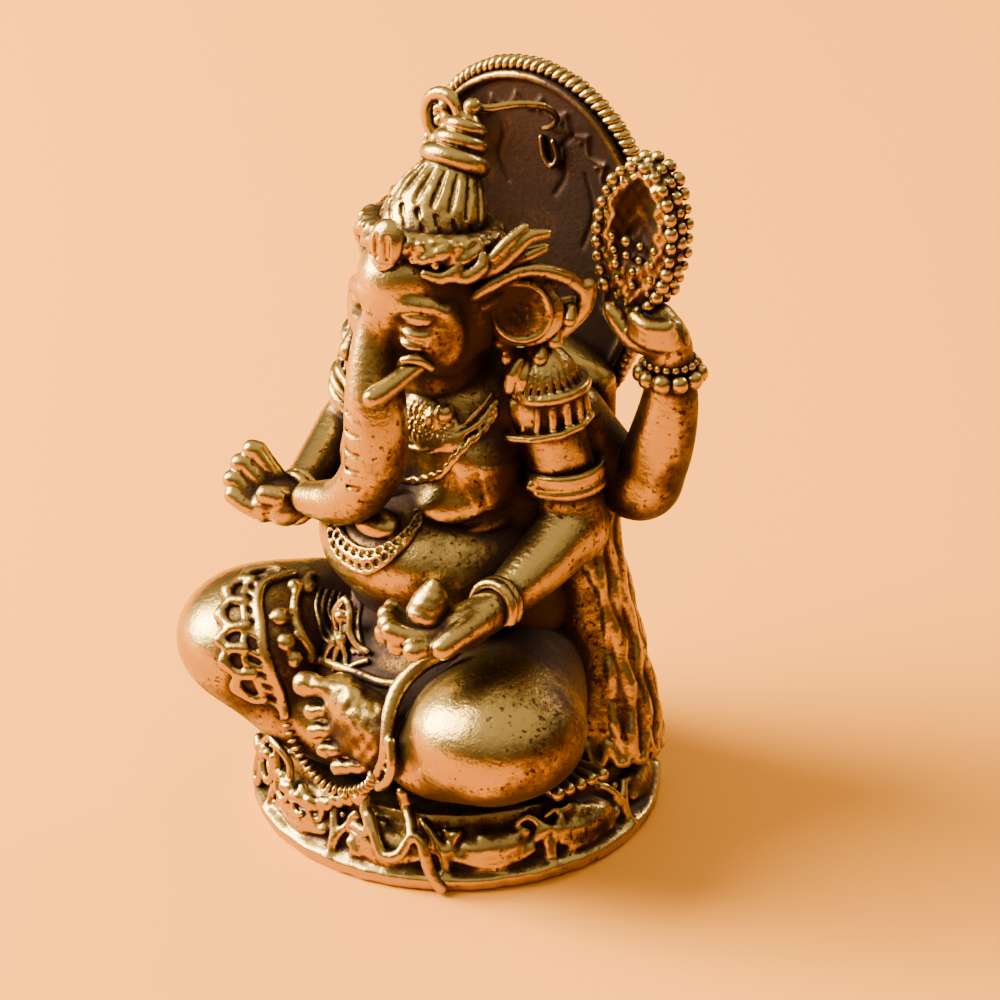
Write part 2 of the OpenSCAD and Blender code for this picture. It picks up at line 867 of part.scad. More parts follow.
// Scalloped bands where the trousers end above each knee
left_hem_path = [
    [4.6, -12, 15.2, 0.5], [4.5, -12.6, 13.4, 0.5], [4.5, -12.9, 11.8, 0.55],
    [4.9, -12.9, 10, 0.6], [5.2, -12.6, 8.4, 0.6]];
right_hem_path = [
    [-8.6, -3.8, 15.9, 0.9], [-8.6, -6.8, 16.1, 1], [-8.2, -9.4, 15.6, 1], [-7.8, -11.4, 14.2, 1],
    [-7.4, -12.2, 12.2, 0.95], [-6.8, -12, 10.2, 0.85], [-6, -11.4, 8.4, 0.8], [-5, -11, 7, 0.7]];

module dhoti_hems()
    color(bright_brass)
        on_seat()
            difference() {
                union() {
                    limb(left_hem_path, trim_sides);
                    limb(right_hem_path, trim_sides);
                }
                legs_mass();
                lap_mass();
            }

// Ribbon with curled ends that falls over the plinth's front
ribbon_path = [
    [6.2, -11.6, 7.6, 0.5], [6.4, -12.3, 6, 0.5], [5.2, -12.9, 4.6, 0.5], [4.3, -13.2, 3.4, 0.45],
    [5.1, -13.3, 2.4, 0.45], [6.6, -12.8, 3.2, 0.5], [7.6, -12.1, 3.8, 0.5], [8.2, -11.9, 2.4, 0.45],
    [8.6, -11.6, 1.5, 0.4]];

module front_ribbon()
    color(bright_brass)
        difference() {
            limb(ribbon_path, trim_sides);
            plinth_mass();
            for (i = [0 : petal_count - 1])
                rotate([0, 0, 360 * (i + 0.5) / petal_count]) petal();
            on_seat() legs_mass();
        }

base_plinth();
lotus_petals();
base_fringe();
back_drape();
arch_panel();
arch_rim();
belly();
chest();
waist_cloth();
left_leg();
right_leg();
left_foot();
right_foot();
head();
trunk();
left_tusk();
right_tusk();
left_ear();
right_ear();
left_earring();
right_earring();
crown_band();
crown_jewel();
crown_scrolls();
crown_dome();
crown_rings();
crown_finial();
crown_ribbon();
front_left_arm();
front_left_hand();
front_right_arm();
front_right_hand();
sweet();
rear_left_arm();
rear_left_hand();
rear_right_arm();
rear_right_hand();
noose();
goad_head();
necklaces();
belly_garland();
epaulets();
armlets();
wrist_bangles();
rear_bracelets();
waist_tassel();
dhoti_hems();
front_ribbon();
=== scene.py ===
import math
import time

import bpy
import numpy as np
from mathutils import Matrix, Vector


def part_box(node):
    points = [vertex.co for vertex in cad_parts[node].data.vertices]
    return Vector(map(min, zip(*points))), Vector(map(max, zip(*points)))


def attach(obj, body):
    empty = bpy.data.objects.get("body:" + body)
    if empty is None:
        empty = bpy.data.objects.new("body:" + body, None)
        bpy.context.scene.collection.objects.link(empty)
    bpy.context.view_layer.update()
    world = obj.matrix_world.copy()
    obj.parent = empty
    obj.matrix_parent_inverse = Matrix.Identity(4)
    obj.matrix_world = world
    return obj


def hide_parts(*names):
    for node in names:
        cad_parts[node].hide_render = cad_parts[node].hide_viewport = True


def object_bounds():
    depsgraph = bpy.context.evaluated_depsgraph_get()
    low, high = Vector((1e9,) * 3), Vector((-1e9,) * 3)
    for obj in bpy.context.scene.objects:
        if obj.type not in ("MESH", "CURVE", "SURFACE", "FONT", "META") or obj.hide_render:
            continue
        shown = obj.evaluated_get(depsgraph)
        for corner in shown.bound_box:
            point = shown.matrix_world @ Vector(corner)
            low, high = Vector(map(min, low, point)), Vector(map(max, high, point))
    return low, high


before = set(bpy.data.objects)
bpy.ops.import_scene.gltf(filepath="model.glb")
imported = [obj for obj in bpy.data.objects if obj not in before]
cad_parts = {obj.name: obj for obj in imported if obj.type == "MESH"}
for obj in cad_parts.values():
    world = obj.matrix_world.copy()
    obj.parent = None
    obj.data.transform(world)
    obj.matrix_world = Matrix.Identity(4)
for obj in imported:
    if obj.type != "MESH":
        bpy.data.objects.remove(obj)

import openvdb
from mathutils import Matrix, Vector

for name in ("Cube", "Light", "Camera"):       # Blender's own start-up objects
    if name in bpy.data.objects:
        bpy.data.objects.remove(bpy.data.objects[name])
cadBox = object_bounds()
startTime = time.time()


def boxMm(node):
    low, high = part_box(node)
    return np.array(low) * 1000, np.array(high) * 1000


plinthHigh = boxMm("base_plinth")[1]
baseH = plinthHigh[2]
baseR = plinthHigh[0]
seatRise = baseH - 5          # heights of the figure are given as if the plinth were 5 mm tall
voxel = 0.12                  # sculpting grid, mm
softVoxel = 0.16              # for smooth masses
figureVoxel = 0.16            # grid of the whole figure, for seating ornaments and for the patina
pieces = {}                   # name: (points in mm, polygons)
meshes = {}


def note(text):
    print(f"{text} ({time.time() - startTime:.0f} s)")


# ---- sculpting: smooth unions of balls, eggs and limbs on a fine grid, all in mm ----

def smoothPath(points, spacing=0.4, closed=False):
    p = np.array(points, float)
    n = len(p)
    spans = n if closed else n - 1
    pick = (lambda i: p[i % n]) if closed else (lambda i: p[min(max(i, 0), n - 1)])
    out = []
    for i in range(spans):
        a, b, c, d = pick(i - 1), pick(i), pick(i + 1), pick(i + 2)
        steps = max(1, math.ceil(np.linalg.norm((c - b)[:3]) / spacing))
        t = (np.arange(steps) / steps)[:, None]
        out.append(0.5 * (2 * b + (c - a) * t + (2 * a - 5 * b + 4 * c - d) * t ** 2
                          + (3 * b - a - 3 * c + d) * t ** 3))
    out.append(p[:1] if closed else p[-1:])
    return np.concatenate(out)


def turnMatrix(turn):
    rx, ry, rz = (Matrix.Rotation(math.radians(t), 3, axis) for t, axis in zip(turn, "XYZ"))
    return np.array(rz @ ry @ rx)


feltMm = 1.1                  # how far past its surface a shape is worked out


class Clay:
    def __init__(self, low, high, ground=False, step=voxel):
        self.step = step
        self.lift = np.array([0, 0, 0 if ground else seatRise])
        self.low = np.floor((np.array(low, float) + self.lift) / step - 4) * step
        size = np.ceil((np.array(high) + self.lift - self.low) / step).astype(int) + 5
        self.field = np.full(size, 1.0, np.float32)

    def window(self, low, high):
        a = np.clip(np.floor((low - self.low) / self.step).astype(int), 0, self.field.shape)
        b = np.clip(np.ceil((high - self.low) / self.step).astype(int) + 1, 0, self.field.shape)
        grid = [(self.low[i] + self.step * np.arange(a[i], b[i])).astype(np.float32)
                for i in range(3)]
        spot = tuple(slice(a[i], b[i]) for i in range(3))
        return spot, grid[0][:, None, None], grid[1][None, :, None], grid[2][None, None, :]

    def whole(self):
        return self.window(self.low, self.low + self.step * np.array(self.field.shape))

    def merge(self, spot, d, blend, cut):
        f = self.field[spot]
        if cut:
            h = np.maximum(blend - np.abs(f + d), 0) / blend
            self.field[spot] = np.maximum(f, -d) + h * h * blend / 4
        else:
            h = np.maximum(blend - np.abs(f - d), 0) / blend
            self.field[spot] = np.minimum(f, d) - h * h * blend / 4

    def egg(self, centre, size, turn=(0, 0, 0), blend=0.3, cut=False):
        c = np.array(centre, float) + self.lift
        m = turnMatrix(turn)
        r = np.array(size, float)
        reach = np.sqrt((m ** 2) @ (r ** 2)) + feltMm
        spot, x, y, z = self.window(c - reach, c + reach)
        x, y, z = x - c[0], y - c[1], z - c[2]
        local = [m[0, i] * x + m[1, i] * y + m[2, i] * z for i in range(3)]
        k0 = np.sqrt(sum((v / s) ** 2 for v, s in zip(local, r)))
        k1 = np.sqrt(sum((v / (s * s)) ** 2 for v, s in zip(local, r))) + 1e-6
        self.merge(spot, np.maximum(k0 * (k0 - 1) / k1, -r.min()), blend, cut)
        return self

    def limb(self, points, blend=0.3, cut=False, closed=False, spacing=0.5, rounded=True):
        path = smoothPath(points, spacing, closed) if rounded else np.array(points, float)
        path[:, :3] += self.lift
        reach = path[:, 3].max() + feltMm
        spot, x, y, z = self.window((path[:, :3] - reach).min(0), (path[:, :3] + reach).max(0))
        total = np.full((x.size, y.size, z.size), feltMm, np.float32)
        corner = np.array([s.start for s in spot])
        for p, q in zip(path[:-1], path[1:]):
            r = max(p[3], q[3]) + feltMm
            inner, sx, sy, sz = self.window(np.minimum(p, q)[:3] - r, np.maximum(p, q)[:3] + r)
            part = tuple(slice(s.start - c, s.stop - c) for s, c in zip(inner, corner))
            ba = q[:3] - p[:3]
            px, py, pz = sx - p[0], sy - p[1], sz - p[2]
            t = np.clip((px * ba[0] + py * ba[1] + pz * ba[2]) / max(ba @ ba, 1e-9), 0, 1)
            d = np.sqrt((px - t * ba[0]) ** 2 + (py - t * ba[1]) ** 2 + (pz - t * ba[2]) ** 2)
            total[part] = np.minimum(total[part], d - p[3] - (q[3] - p[3]) * t)
        self.merge(spot, total, blend, cut)
        return self

    def balls(self, points, blend=0.15, cut=False):
        for p in points:
            self.limb([p, p], blend, cut, rounded=False)
        return self

    def groove(self, points, blend=0.25, **more):
        return self.limb(points, blend, cut=True, **more)

    # keeps what lies under a plane: everything with (p - point) . normal > 0 goes
    def slice(self, point, normal, blend=0.2):
        n = np.array(normal, float) / np.linalg.norm(normal)
        p = np.array(point, float) + self.lift
        spot, x, y, z = self.whole()
        d = -((x - p[0]) * n[0] + (y - p[1]) * n[1] + (z - p[2]) * n[2])
        self.merge(spot, d, blend, True)
        return self

    # slow waves that take the machine-made look off a surface
    def uneven(self, amount=0.05, size=1.6, phase=0.0):
        x, y, z = self.whole()[1:]
        w = 2 * math.pi / size
        self.field += (amount / 2 * (np.sin(w * x + 0.6 * w * y + phase)
                                     * np.sin(w * 0.8 * z + 0.5 * w * y + 2 * phase)
                                     + np.sin(0.7 * w * z - 0.9 * w * x + 1 + phase)
                                     * np.sin(w * y + 0.4 * w * x))).astype(np.float32)
        return self


# ---- the whole figure on one grid ----

figureLow = np.floor((np.array(cadBox[0]) * 1000 - 2) / figureVoxel) * figureVoxel
figureSize = np.ceil((np.array(cadBox[1]) * 1000 + 2 - figureLow) / figureVoxel).astype(int)
figure = np.full(figureSize, 1.0, np.float32)


def addToFigure(field, low, step):
    a = np.maximum(np.ceil((low - figureLow) / figureVoxel).astype(int), 0)
    b = np.minimum(np.floor((low + step * (np.array(field.shape) - 1) - figureLow)
                            / figureVoxel).astype(int) + 1, figureSize)
    take = [np.clip(np.rint((figureLow[i] + figureVoxel * np.arange(a[i], b[i]) - low[i])
                            / step).astype(int), 0, field.shape[i] - 1) for i in range(3)]
    spot = tuple(slice(a[i], b[i]) for i in range(3))
    figure[spot] = np.minimum(figure[spot], field[np.ix_(*take)])


def sample(field, points, low=figureLow, step=figureVoxel):
    g = np.clip((points - low) / step, 0, np.array(field.shape) - 1.001)
    i = g.astype(int)
    f = g - i
    out = np.zeros(len(points))
    for dx in (0, 1):
        for dy in (0, 1):
            for dz in (0, 1):
                w = (np.abs(1 - dx - f[:, 0]) * np.abs(1 - dy - f[:, 1])
                     * np.abs(1 - dz - f[:, 2]))
                out += w * field[i[:, 0] + dx, i[:, 1] + dy, i[:, 2] + dz]
    return out


# moves points [x, y, z, radius] onto the figure's surface, then out by lift times the radius
def seated(points, lift=0.3):
    p = np.array(points, float)
    p[:, 2] += seatRise
    for _ in range(3):
        e = 0.25
        slope = np.stack([sample(figure, p[:, :3] + off) - sample(figure, p[:, :3] - off)
                          for off in np.eye(3) * e], 1) / (2 * e)
        steep = np.linalg.norm(slope, axis=1)[:, None]
        sure = steep[:, 0] > 0.3
        move = (sample(figure, p[:, :3]) - lift * p[:, 3])[:, None] * slope / np.maximum(
            steep, 0.3) ** 2
        p[sure, :3] -= np.clip(move, -0.8, 0.8)[sure]
    p[:, 2] -= seatRise
    return p


def finishClay(clay, name):
    grid = openvdb.FloatGrid(1.0)
    grid.copyFromArray(clay.field)
    grid.transform = openvdb.createLinearTransform(clay.step)
    points, quads = grid.convertToQuads(0.0)
    points = np.array(points, np.float64) + clay.low
    pieces[name] = (points, np.array(quads, np.int64))
    addToFigure(clay.field, clay.low, clay.step)
    note(f"sculpted {name}: {len(quads)} quads")


# ---- stand ----

plinth = {"rimH": 0.9, "lipBlend": 0.35, "petals": 11, "petalSize": (1.2, 2.6, 1.2), "flecks": 90}


def onPlinth(angle, radius, z, r):
    a = math.radians(angle)
    return [radius * math.cos(a), radius * math.sin(a), z, r]


def sculptPlinth():
    clay = Clay([-baseR, -baseR, 0], [baseR, baseR, baseH], ground=True, step=0.15)
    spot, x, y, z = clay.whole()
    r = np.sqrt(x * x + y * y)
    edge = np.interp(z, [0, 0.25, plinth["rimH"], 1.5, baseH], [baseR - 0.25, baseR - 0.05,
                     baseR - 0.05, baseR - 1, baseR - 2.3]).astype(np.float32)
    clay.merge(spot, np.maximum(np.maximum((r - edge) * 0.85, z - baseH), -z), 0.05, False)
    chance = np.random.RandomState(4)
    for i in range(plinth["petals"]):            # bulging petals, lipped below, forked ridges
        a = 360 * (i + 0.5) / plinth["petals"] - 90
        half = 180 / plinth["petals"]
        clay.egg(onPlinth(a, baseR - 1.7, 2.3, 0)[:3], plinth["petalSize"],
                 turn=(0, -32, a), blend=0.5)
        lip = [onPlinth(a + half * u, baseR - 0.75 - 0.25 * abs(u), 1.5 + 1.3 * u * u, 0.34)
               for u in (-0.68, -0.35, 0, 0.35, 0.68)]
        clay.limb(lip, blend=0.3)
        fork = a + half + chance.uniform(-2, 2)
        low, high, lean = chance.uniform(1.5, 2.1), chance.uniform(2.8, 3.5), chance.uniform(2, 5)
        clay.limb([onPlinth(fork, baseR - 0.35, 0.9, 0.34), onPlinth(fork, baseR - 0.8, low, 0.32),
                   onPlinth(fork - lean, baseR - 1.4, high, 0.28),
                   onPlinth(fork - lean - 3, baseR - 1.9, 3.9, 0.22)], blend=0.35)
        clay.limb([onPlinth(fork, baseR - 0.8, low, 0.3),
                   onPlinth(fork + 7 - lean, baseR - 1.4, high, 0.26)], blend=0.35)
    for i in range(plinth["flecks"]):            # short wavy ridges between them
        a, z = chance.uniform(0, 360), chance.uniform(1.3, 4)
        out = baseR - 0.45 - 0.42 * (z - 0.9)
        long, bend, r = chance.uniform(2, 6), chance.uniform(-0.5, 0.5), chance.uniform(0.16, 0.3)
        clay.limb([onPlinth(a, out, z, r), onPlinth(a + long / 2, out, z + bend, r * 1.2),
                   onPlinth(a + long, out, z + bend * 0.3, r)], blend=0.3)
    clay.limb([onPlinth(a, baseR - 0.35, plinth["rimH"] - 0.15, 0.3) for a in range(0, 360, 15)],
              blend=plinth["lipBlend"], closed=True)
    clay.uneven(0.05, 2.3)
    clay.slice([0, 0, 0.02], [0, 0, -1], 0.02)
    finishClay(clay, "base_plinth")


# ---- legs and lap ----

legs = {"kneeR": 5.6, "kneeTall": 4.15}


def sculptLegs():
    left = Clay([-1, -14.2, 4.8], [15.4, 4, 16.6], step=softVoxel)
    left.egg([9.4, -7.9, 11.8], [legs["kneeR"], legs["kneeR"], legs["kneeTall"]], blend=0.8)
    left.limb([[4.6, 0.5, 10.6, 4.2], [8, -4.6, 11.2, 4.7], [9.5, -7.9, 11.7, 3.9]], blend=1)
    left.limb([[9.4, -9, 10.8, 3.2], [6, -9.8, 9.6, 2.7], [3.4, -10, 9.8, 2]], blend=1)
    finishClay(left, "left_leg")
    right = Clay([-16, -14.2, 4.8], [1.5, 4, 17], step=softVoxel)
    right.egg([-9.8, -7.6, 11.8], [legs["kneeR"], legs["kneeR"], 4.35], blend=0.8)
    right.limb([[-4.6, 0.5, 10.6, 4.2], [-8, -4.6, 11.4, 4.7], [-9.8, -7.4, 11.7, 4.1]], blend=1)
    right.limb([[-9.4, -8.4, 10.8, 3.6], [-6, -8.6, 8.4, 2.8], [-1, -8.2, 7.2, 2.2]], blend=1)
    finishClay(right, "right_leg")


foot = {"toeR": 0.58, "toes": [[-2.3, -11.8, 10.8], [-1.9, -12, 9.6], [-1.1, -12, 8.5],
                              [-0.1, -11.9, 7.6]]}


def sculptFeet():
    clay = Clay([-4.5, -13.6, 6], [8, -7.5, 15])
    clay.limb([[-0.9, -10.6, 12.1, 1.25], [1.4, -10.7, 11, 1.8], [4.4, -10, 10.4, 1.7]], blend=0.9)
    clay.limb([[-0.2, -10.8, 9.6, 1.2], [2.2, -10.6, 9.6, 1.7], [4.4, -10, 10, 1.5]], blend=0.9)
    clay.egg([0.2, -11.1, 11.4], [1.6, 1, 1.9], blend=0.5)
    clay.limb([[-0.6, -11.1, 12.4, 0.75], [-1.8, -11.5, 12.6, 0.66],
               [-2.8, -11.6, 12.5, 0.82]], blend=0.3)
    clay.egg([-2.95, -11.9, 12.6], [0.7, 0.62, 0.75], blend=0.25)
    for x, y, z in foot["toes"]:
        clay.limb([[x + 1.9, y + 0.7, z + 0.5, 0.6], [x + 1, y + 0.2, z + 0.25, 0.46],
                   [x, y, z, foot["toeR"]]], blend=0.16)
    clay.uneven(0.06, 1.2)
    finishClay(clay, "left_foot")
    toes = Clay([7, -6.6, 4.4], [13, 0.5, 8])
    toes.limb([[8.6, -4.4, 5.9, 1], [10, -2.2, 5.8, 0.9]])
    for i in range(5):
        toes.limb([[9.4, -3.6 + 0.8 * i, 5.8, 0.5], [11.2 + 0.2 * i, -4 + 0.9 * i, 5.9, 0.46]],
                  blend=0.15)
    finishClay(toes, "right_foot")


def sculptLap():
    clay = Clay([-9.5, -10.5, 5], [9.5, 5, 16.6], step=softVoxel)
    clay.egg([0, -2.6, 10.8], [9, 7.2, 5.4])
    finishClay(clay, "waist_cloth")


# ---- torso ----

torso = {"bellySize": (8.35, 7.75, 4.8), "breastBlend": 1.3, "crease": 0.24}


def sculptTorso():
    belly = Clay([-9, -9.4, 9.8], [9, 8, 25.6], step=softVoxel)
    belly.egg([0, -0.9, 19.8], torso["bellySize"])
    belly.egg([0, 0.5, 15.2], [7.4, 6.6, 4.6], blend=1.4)
    finishClay(belly, "belly")
    chest = Clay([-9.4, -6.6, 17.5], [9.4, 5.8, 33.5])
    chest.limb([[-5.6, 1.2, 29, 2.5], [0, 0, 29.2, 3.6], [6, 1.2, 29.8, 2.4]], blend=1)
    chest.egg([0, -0.2, 27.2], [5.2, 4.4, 5.4], blend=1.4)
    chest.limb([[-4.4, 0.6, 22.5, 3.6], [4.4, 0.6, 22.5, 3.6]], blend=1.6)
    for side in (1, -1):
        chest.egg([3.4 * side, -2.4, 26.6], [2.8, 2.4, 2.6], blend=torso["breastBlend"])
        chest.egg([3.1 * side, -3.6, 24.3], [3, 2.2, 1.45], turn=(15, -20 * side, 20 * side),
                  blend=torso["breastBlend"])
        chest.egg([3.6 * side, -3.3, 22.7], [2.9, 1.9, 0.95], turn=(0, -14 * side, 22 * side),
                  blend=0.5)
        chest.groove([[1.4 * side, -5.7, 23.2, 0.16], [3 * side, -5.5, 23.1, torso["crease"]],
                      [4.5 * side, -4.8, 23.3, torso["crease"]], [5.8 * side, -4.2, 24.1, 0.16]],
                     blend=0.4)
    finishClay(chest, "chest")


# ---- arms ----

arms = {"wristR": 1.35}


def sculptArms():
    left = Clay([4, -7.8, 17], [11.4, 3.8, 33.4])
    left.limb([[6.4, 0.4, 30.3, 2.3], [7.3, 0.7, 27.6, 2.1], [8, 0.9, 24.8, 2.15],
               [8.5, 0.7, 22.7, 2.3], [8.7, -1.2, 21.6, 2.05], [8.6, -3.6, 20.7, 1.75],
               [8.3, -6, 19.8, arms["wristR"]]], blend=0.5)
    left.egg([8.9, 0.9, 21.8], [1.9, 2, 1.6], blend=0.8)
    finishClay(left, "front_left_arm")
    right = Clay([-12.4, -7.6, 20.2], [-4, 4.2, 32])
    right.limb([[-6.2, 1.4, 29.2, 2.2], [-7.8, 1.8, 27, 2.05], [-9.2, 1.9, 24.6, 1.9],
                [-9.9, 1.4, 23.2, 2], [-9.5, -0.8, 22.6, 1.75], [-8.8, -3.4, 22.2, 1.5],
                [-8, -6, 21.9, 1.3]], blend=0.5)
    finishClay(right, "front_right_arm")
    rearLeft = Clay([4.5, 1, 20.6], [16.2, 8.2, 34.4])
    rearLeft.limb([[6.6, 3.4, 28.4, 2.1], [8.4, 4.6, 25.4, 2.1], [10.2, 5.2, 23.9, 2.2],
                   [11.3, 5.2, 25, 2.2], [12.3, 5, 27.6, 2.1], [12.9, 5, 30.4, 1.8],
                   [13, 5, 32.6, 1.45]], blend=0.6)
    rearLeft.egg([10.7, 5.2, 24.1], [2.4, 2.2, 2.1], blend=0.8)
    finishClay(rearLeft, "rear_left_arm")
    rearRight = Clay([-11.6, 2, 23], [-4, 9, 37])
    rearRight.limb([[-6.2, 3.8, 28, 2], [-8, 5, 25.6, 2], [-9, 5.6, 25.6, 2], [-9, 5.8, 28.4, 1.8],
                    [-8.4, 5.9, 32, 1.6], [-8, 6, 35.2, 1.4]], blend=0.6)
    finishClay(rearRight, "rear_right_arm")


# a ring of points round an axis
def hoop(centre, axis, radius, tube, count=18):
    n = np.array(axis, float) / np.linalg.norm(axis)
    e = np.cross(n, [0, 0, 1])
    e /= np.linalg.norm(e)
    f = np.cross(n, e)
    angles = 2 * math.pi * np.arange(count) / count
    return [list(np.array(centre) + radius * (e * math.cos(a) + f * math.sin(a))) + [tube]
            for a in angles]


# ---- head and trunk, in one piece ----

face = {"browR": 0.36, "lidR": 0.08, "wrinkle": 0.13}
trunkLine = [[-0.3, -5.6, 38.2, 1.75], [-0.7, -6.5, 35.9, 1.5], [-0.6, -7.2, 33.9, 1.6],
             [-0.2, -7.7, 31.8, 1.85], [0, -7.9, 29.8, 1.95], [-0.1, -7.9, 27.6, 1.95],
             [-0.9, -8.1, 25.7, 1.8], [-2.3, -8.2, 24.3, 1.55], [-3.9, -8.1, 23.7, 1.3],
             [-5.5, -7.9, 23.3, 1.05]]


def sculptHead():
    clay = Clay([-7.2, -10.4, 21.6], [6.2, 3.6, 43])
    clay.egg([0, -2.2, 37.2], [4.45, 4.5, 4.7], blend=0.6)
    clay.egg([0, -4.7, 39.2], [3.1, 2.7, 2.6], blend=0.9)               # forehead
    clay.limb([[0, -1.2, 31.6, 3], [0, -1.9, 35.5, 3.4]], blend=1.2)
    for s in (1, -1):
        clay.egg([2.6 * s, -3.9, 35.2], [1.8, 1.9, 2.3], blend=0.8)     # cheek
        clay.egg([4 * s, -2.4, 36.6], [0.9, 1.6, 2.2], blend=0.6)
    clay.limb(trunkLine, blend=1.3)
    for s in (1, -1):
        clay.egg([2.2 * s, -5.3, 36.1], [1.7, 1.35, 2.3], turn=(0, 0, 25 * s), blend=0.8)
        clay.egg([2.4 * s, -6.95, 37.25], [1.05, 0.34, 0.6], turn=(0, 0, 28 * s), blend=0.5,
                 cut=True)                                              # eye socket
        clay.egg([3.4 * s, -4.9, 36.6], [0.9, 0.7, 1.6], turn=(0, 0, 35 * s), blend=0.6)
        clay.limb([[0.8 * s, -6.9, 37.9, 0.26], [1.7 * s, -6.85, 38.35, face["browR"]],
                   [2.8 * s, -6.15, 38.3, face["browR"]], [3.5 * s, -5.5, 37.9, 0.24]], blend=0.6)
        clay.egg([2.3 * s, -6.55, 37.5], [0.95, 0.45, 0.44], turn=(0, 6 * s, 28 * s), blend=0.2)
        clay.groove([[1.5 * s, -7.1, 37.4, 0.05], [2.3 * s, -7.05, 37.5, face["lidR"]],
                     [3.1 * s, -6.55, 37.4, 0.05]], blend=0.1)
        clay.egg([2.1 * s, -6.6, 36.45], [0.75, 0.5, 0.3], turn=(0, 10 * s, 24 * s), blend=0.35)
        clay.egg([2 * s, -6.7, 35.75], [0.8, 0.5, 0.32], turn=(0, 10 * s, 22 * s), blend=0.35)
        clay.limb([[3.7 * s, -5.2, 37.4, 0.22], [3.95 * s, -4.8, 36.6, 0.34],
                   [3.9 * s, -4.85, 35.5, 0.42], [3.5 * s, -5.1, 34.7, 0.4],
                   [2.95 * s, -5.5, 34.9, 0.3], [2.9 * s, -5.6, 35.3, 0.22]], blend=0.45)
    clay.limb([[1.5, -7.3, 34.4, 0.22], [2, -7.5, 35, 0.3], [2.7, -7.05, 35.05, 0.32],
               [3.2, -6.4, 34.4, 0.24]], blend=0.3)                     # lip over the tusk
    for z in (31.4, 30.2, 28.9, 27.7, 26.6):                            # wrinkles
        y = -7.9 - 0.02 * (30 - z)
        clay.groove([[-1.9, y + 0.6, z, face["wrinkle"]], [-0.9, y - 1.65, z - 0.15, 0.08],
                     [0.2, y - 1.95, z - 0.1, face["wrinkle"]]], blend=0.2)
    clay.egg([-6.3, -7.8, 23.2], [0.5, 0.45, 0.5], blend=0.3, cut=True)
    finishClay(clay, "head_and_trunk")


def sculptTusks():
    left = Clay([0.6, -11.2, 32], [3.8, -5.4, 36])
    left.limb([[2.4, -6.7, 34.4, 0.52], [2.2, -7.4, 34.2, 0.58], [1.95, -8.8, 33.75, 0.64],
               [1.65, -9.8, 33.4, 0.68], [1.6, -10.1, 33.35, 0.62]], blend=0.1)
    finishClay(left, "left_tusk")
    right = Clay([-4.4, -8.4, 33], [-1.2, -4.4, 36.2])
    right.limb([[-2.9, -5.4, 35, 0.8], [-2.6, -6.4, 34.6, 0.8], [-2.5, -7.2, 34.2, 0.72]])
    finishClay(right, "right_tusk")


# ---- ears ----

ear = {"dishR": 1.75, "rightTuck": 0.84}      # the right ear lies closer in


def sculptEar(side, name):
    tuck = side if side > 0 else side * ear["rightTuck"]

    def line(*points):
        return [[p[0] * tuck] + list(p[1:]) for p in points]
    low, high = [2.6 * tuck, -5, 30.6], [10 * tuck, 4.6, 41.4]
    clay = Clay(np.minimum(low, high), np.maximum(low, high))
    for a, b in (([4.4, -2.9, 37.6], [6.3, 0, 38.8]), ([5.4, -1.2, 36.5], [7.6, 1.9, 37]),
                 ([4.9, -1.7, 34.9], [6.7, 0.9, 35.2]), ([5.1, -1.2, 33.6], [6, 0.2, 33.6])):
        clay.limb(line(a + [0.5], b + [0.42]), blend=0.9)
    aim = (0, -14 * side, -52 * side)
    clay.egg([6.2 * tuck, -0.9, 36.9], [0.5, 2.4, 2.1], turn=aim, blend=0.6)
    clay.limb(line([3.9, -3.5, 38.1, 0.4], [4.9, -2.5, 39.1, 0.5], [5.9, -1.2, 39.7, 0.46],
                   [6.8, 0.1, 39.5, 0.46], [7.7, 1.5, 38.7, 0.5], [8.4, 2.4, 37.6, 0.5]),
              blend=0.2)
    clay.limb(line([4.4, -3, 38.3, 0.24], [5.3, -2, 38.9, 0.26], [6.3, -0.8, 38.9, 0.22],
                   [7.3, 0.7, 38.4, 0.2]), blend=0.15)
    clay.limb(line([8.5, 2.5, 38.1, 0.5], [8.3, 2.2, 36.8, 0.6], [7.6, 1.5, 35.5, 0.5],
                   [6.7, 0.6, 34.4, 0.46], [5.9, -0.3, 33.4, 0.42]), blend=0.2)
    facing = np.array([math.cos(math.radians(52)) * side, -math.sin(math.radians(52)), 0.2])
    middle = np.array([6 * tuck, -1, 37]) + 0.25 * facing
    clay.limb(hoop(middle + 0.2 * facing, facing, ear["dishR"], 0.16, 26), blend=0.2, closed=True)
    clay.egg(middle + 0.8 * facing, [0.75, ear["dishR"] - 0.15, ear["dishR"] - 0.15], turn=aim,
             blend=0.15, cut=True)
    for reach, count in ((0.45, 5), (0.95, 10), (1.35, 14)):
        clay.balls(hoop(middle + 0.1 * facing, facing, reach, 0.14, count), blend=0.08)
    finishClay(clay, name)


# ---- hands ----

hands = {"crease": 0.16}


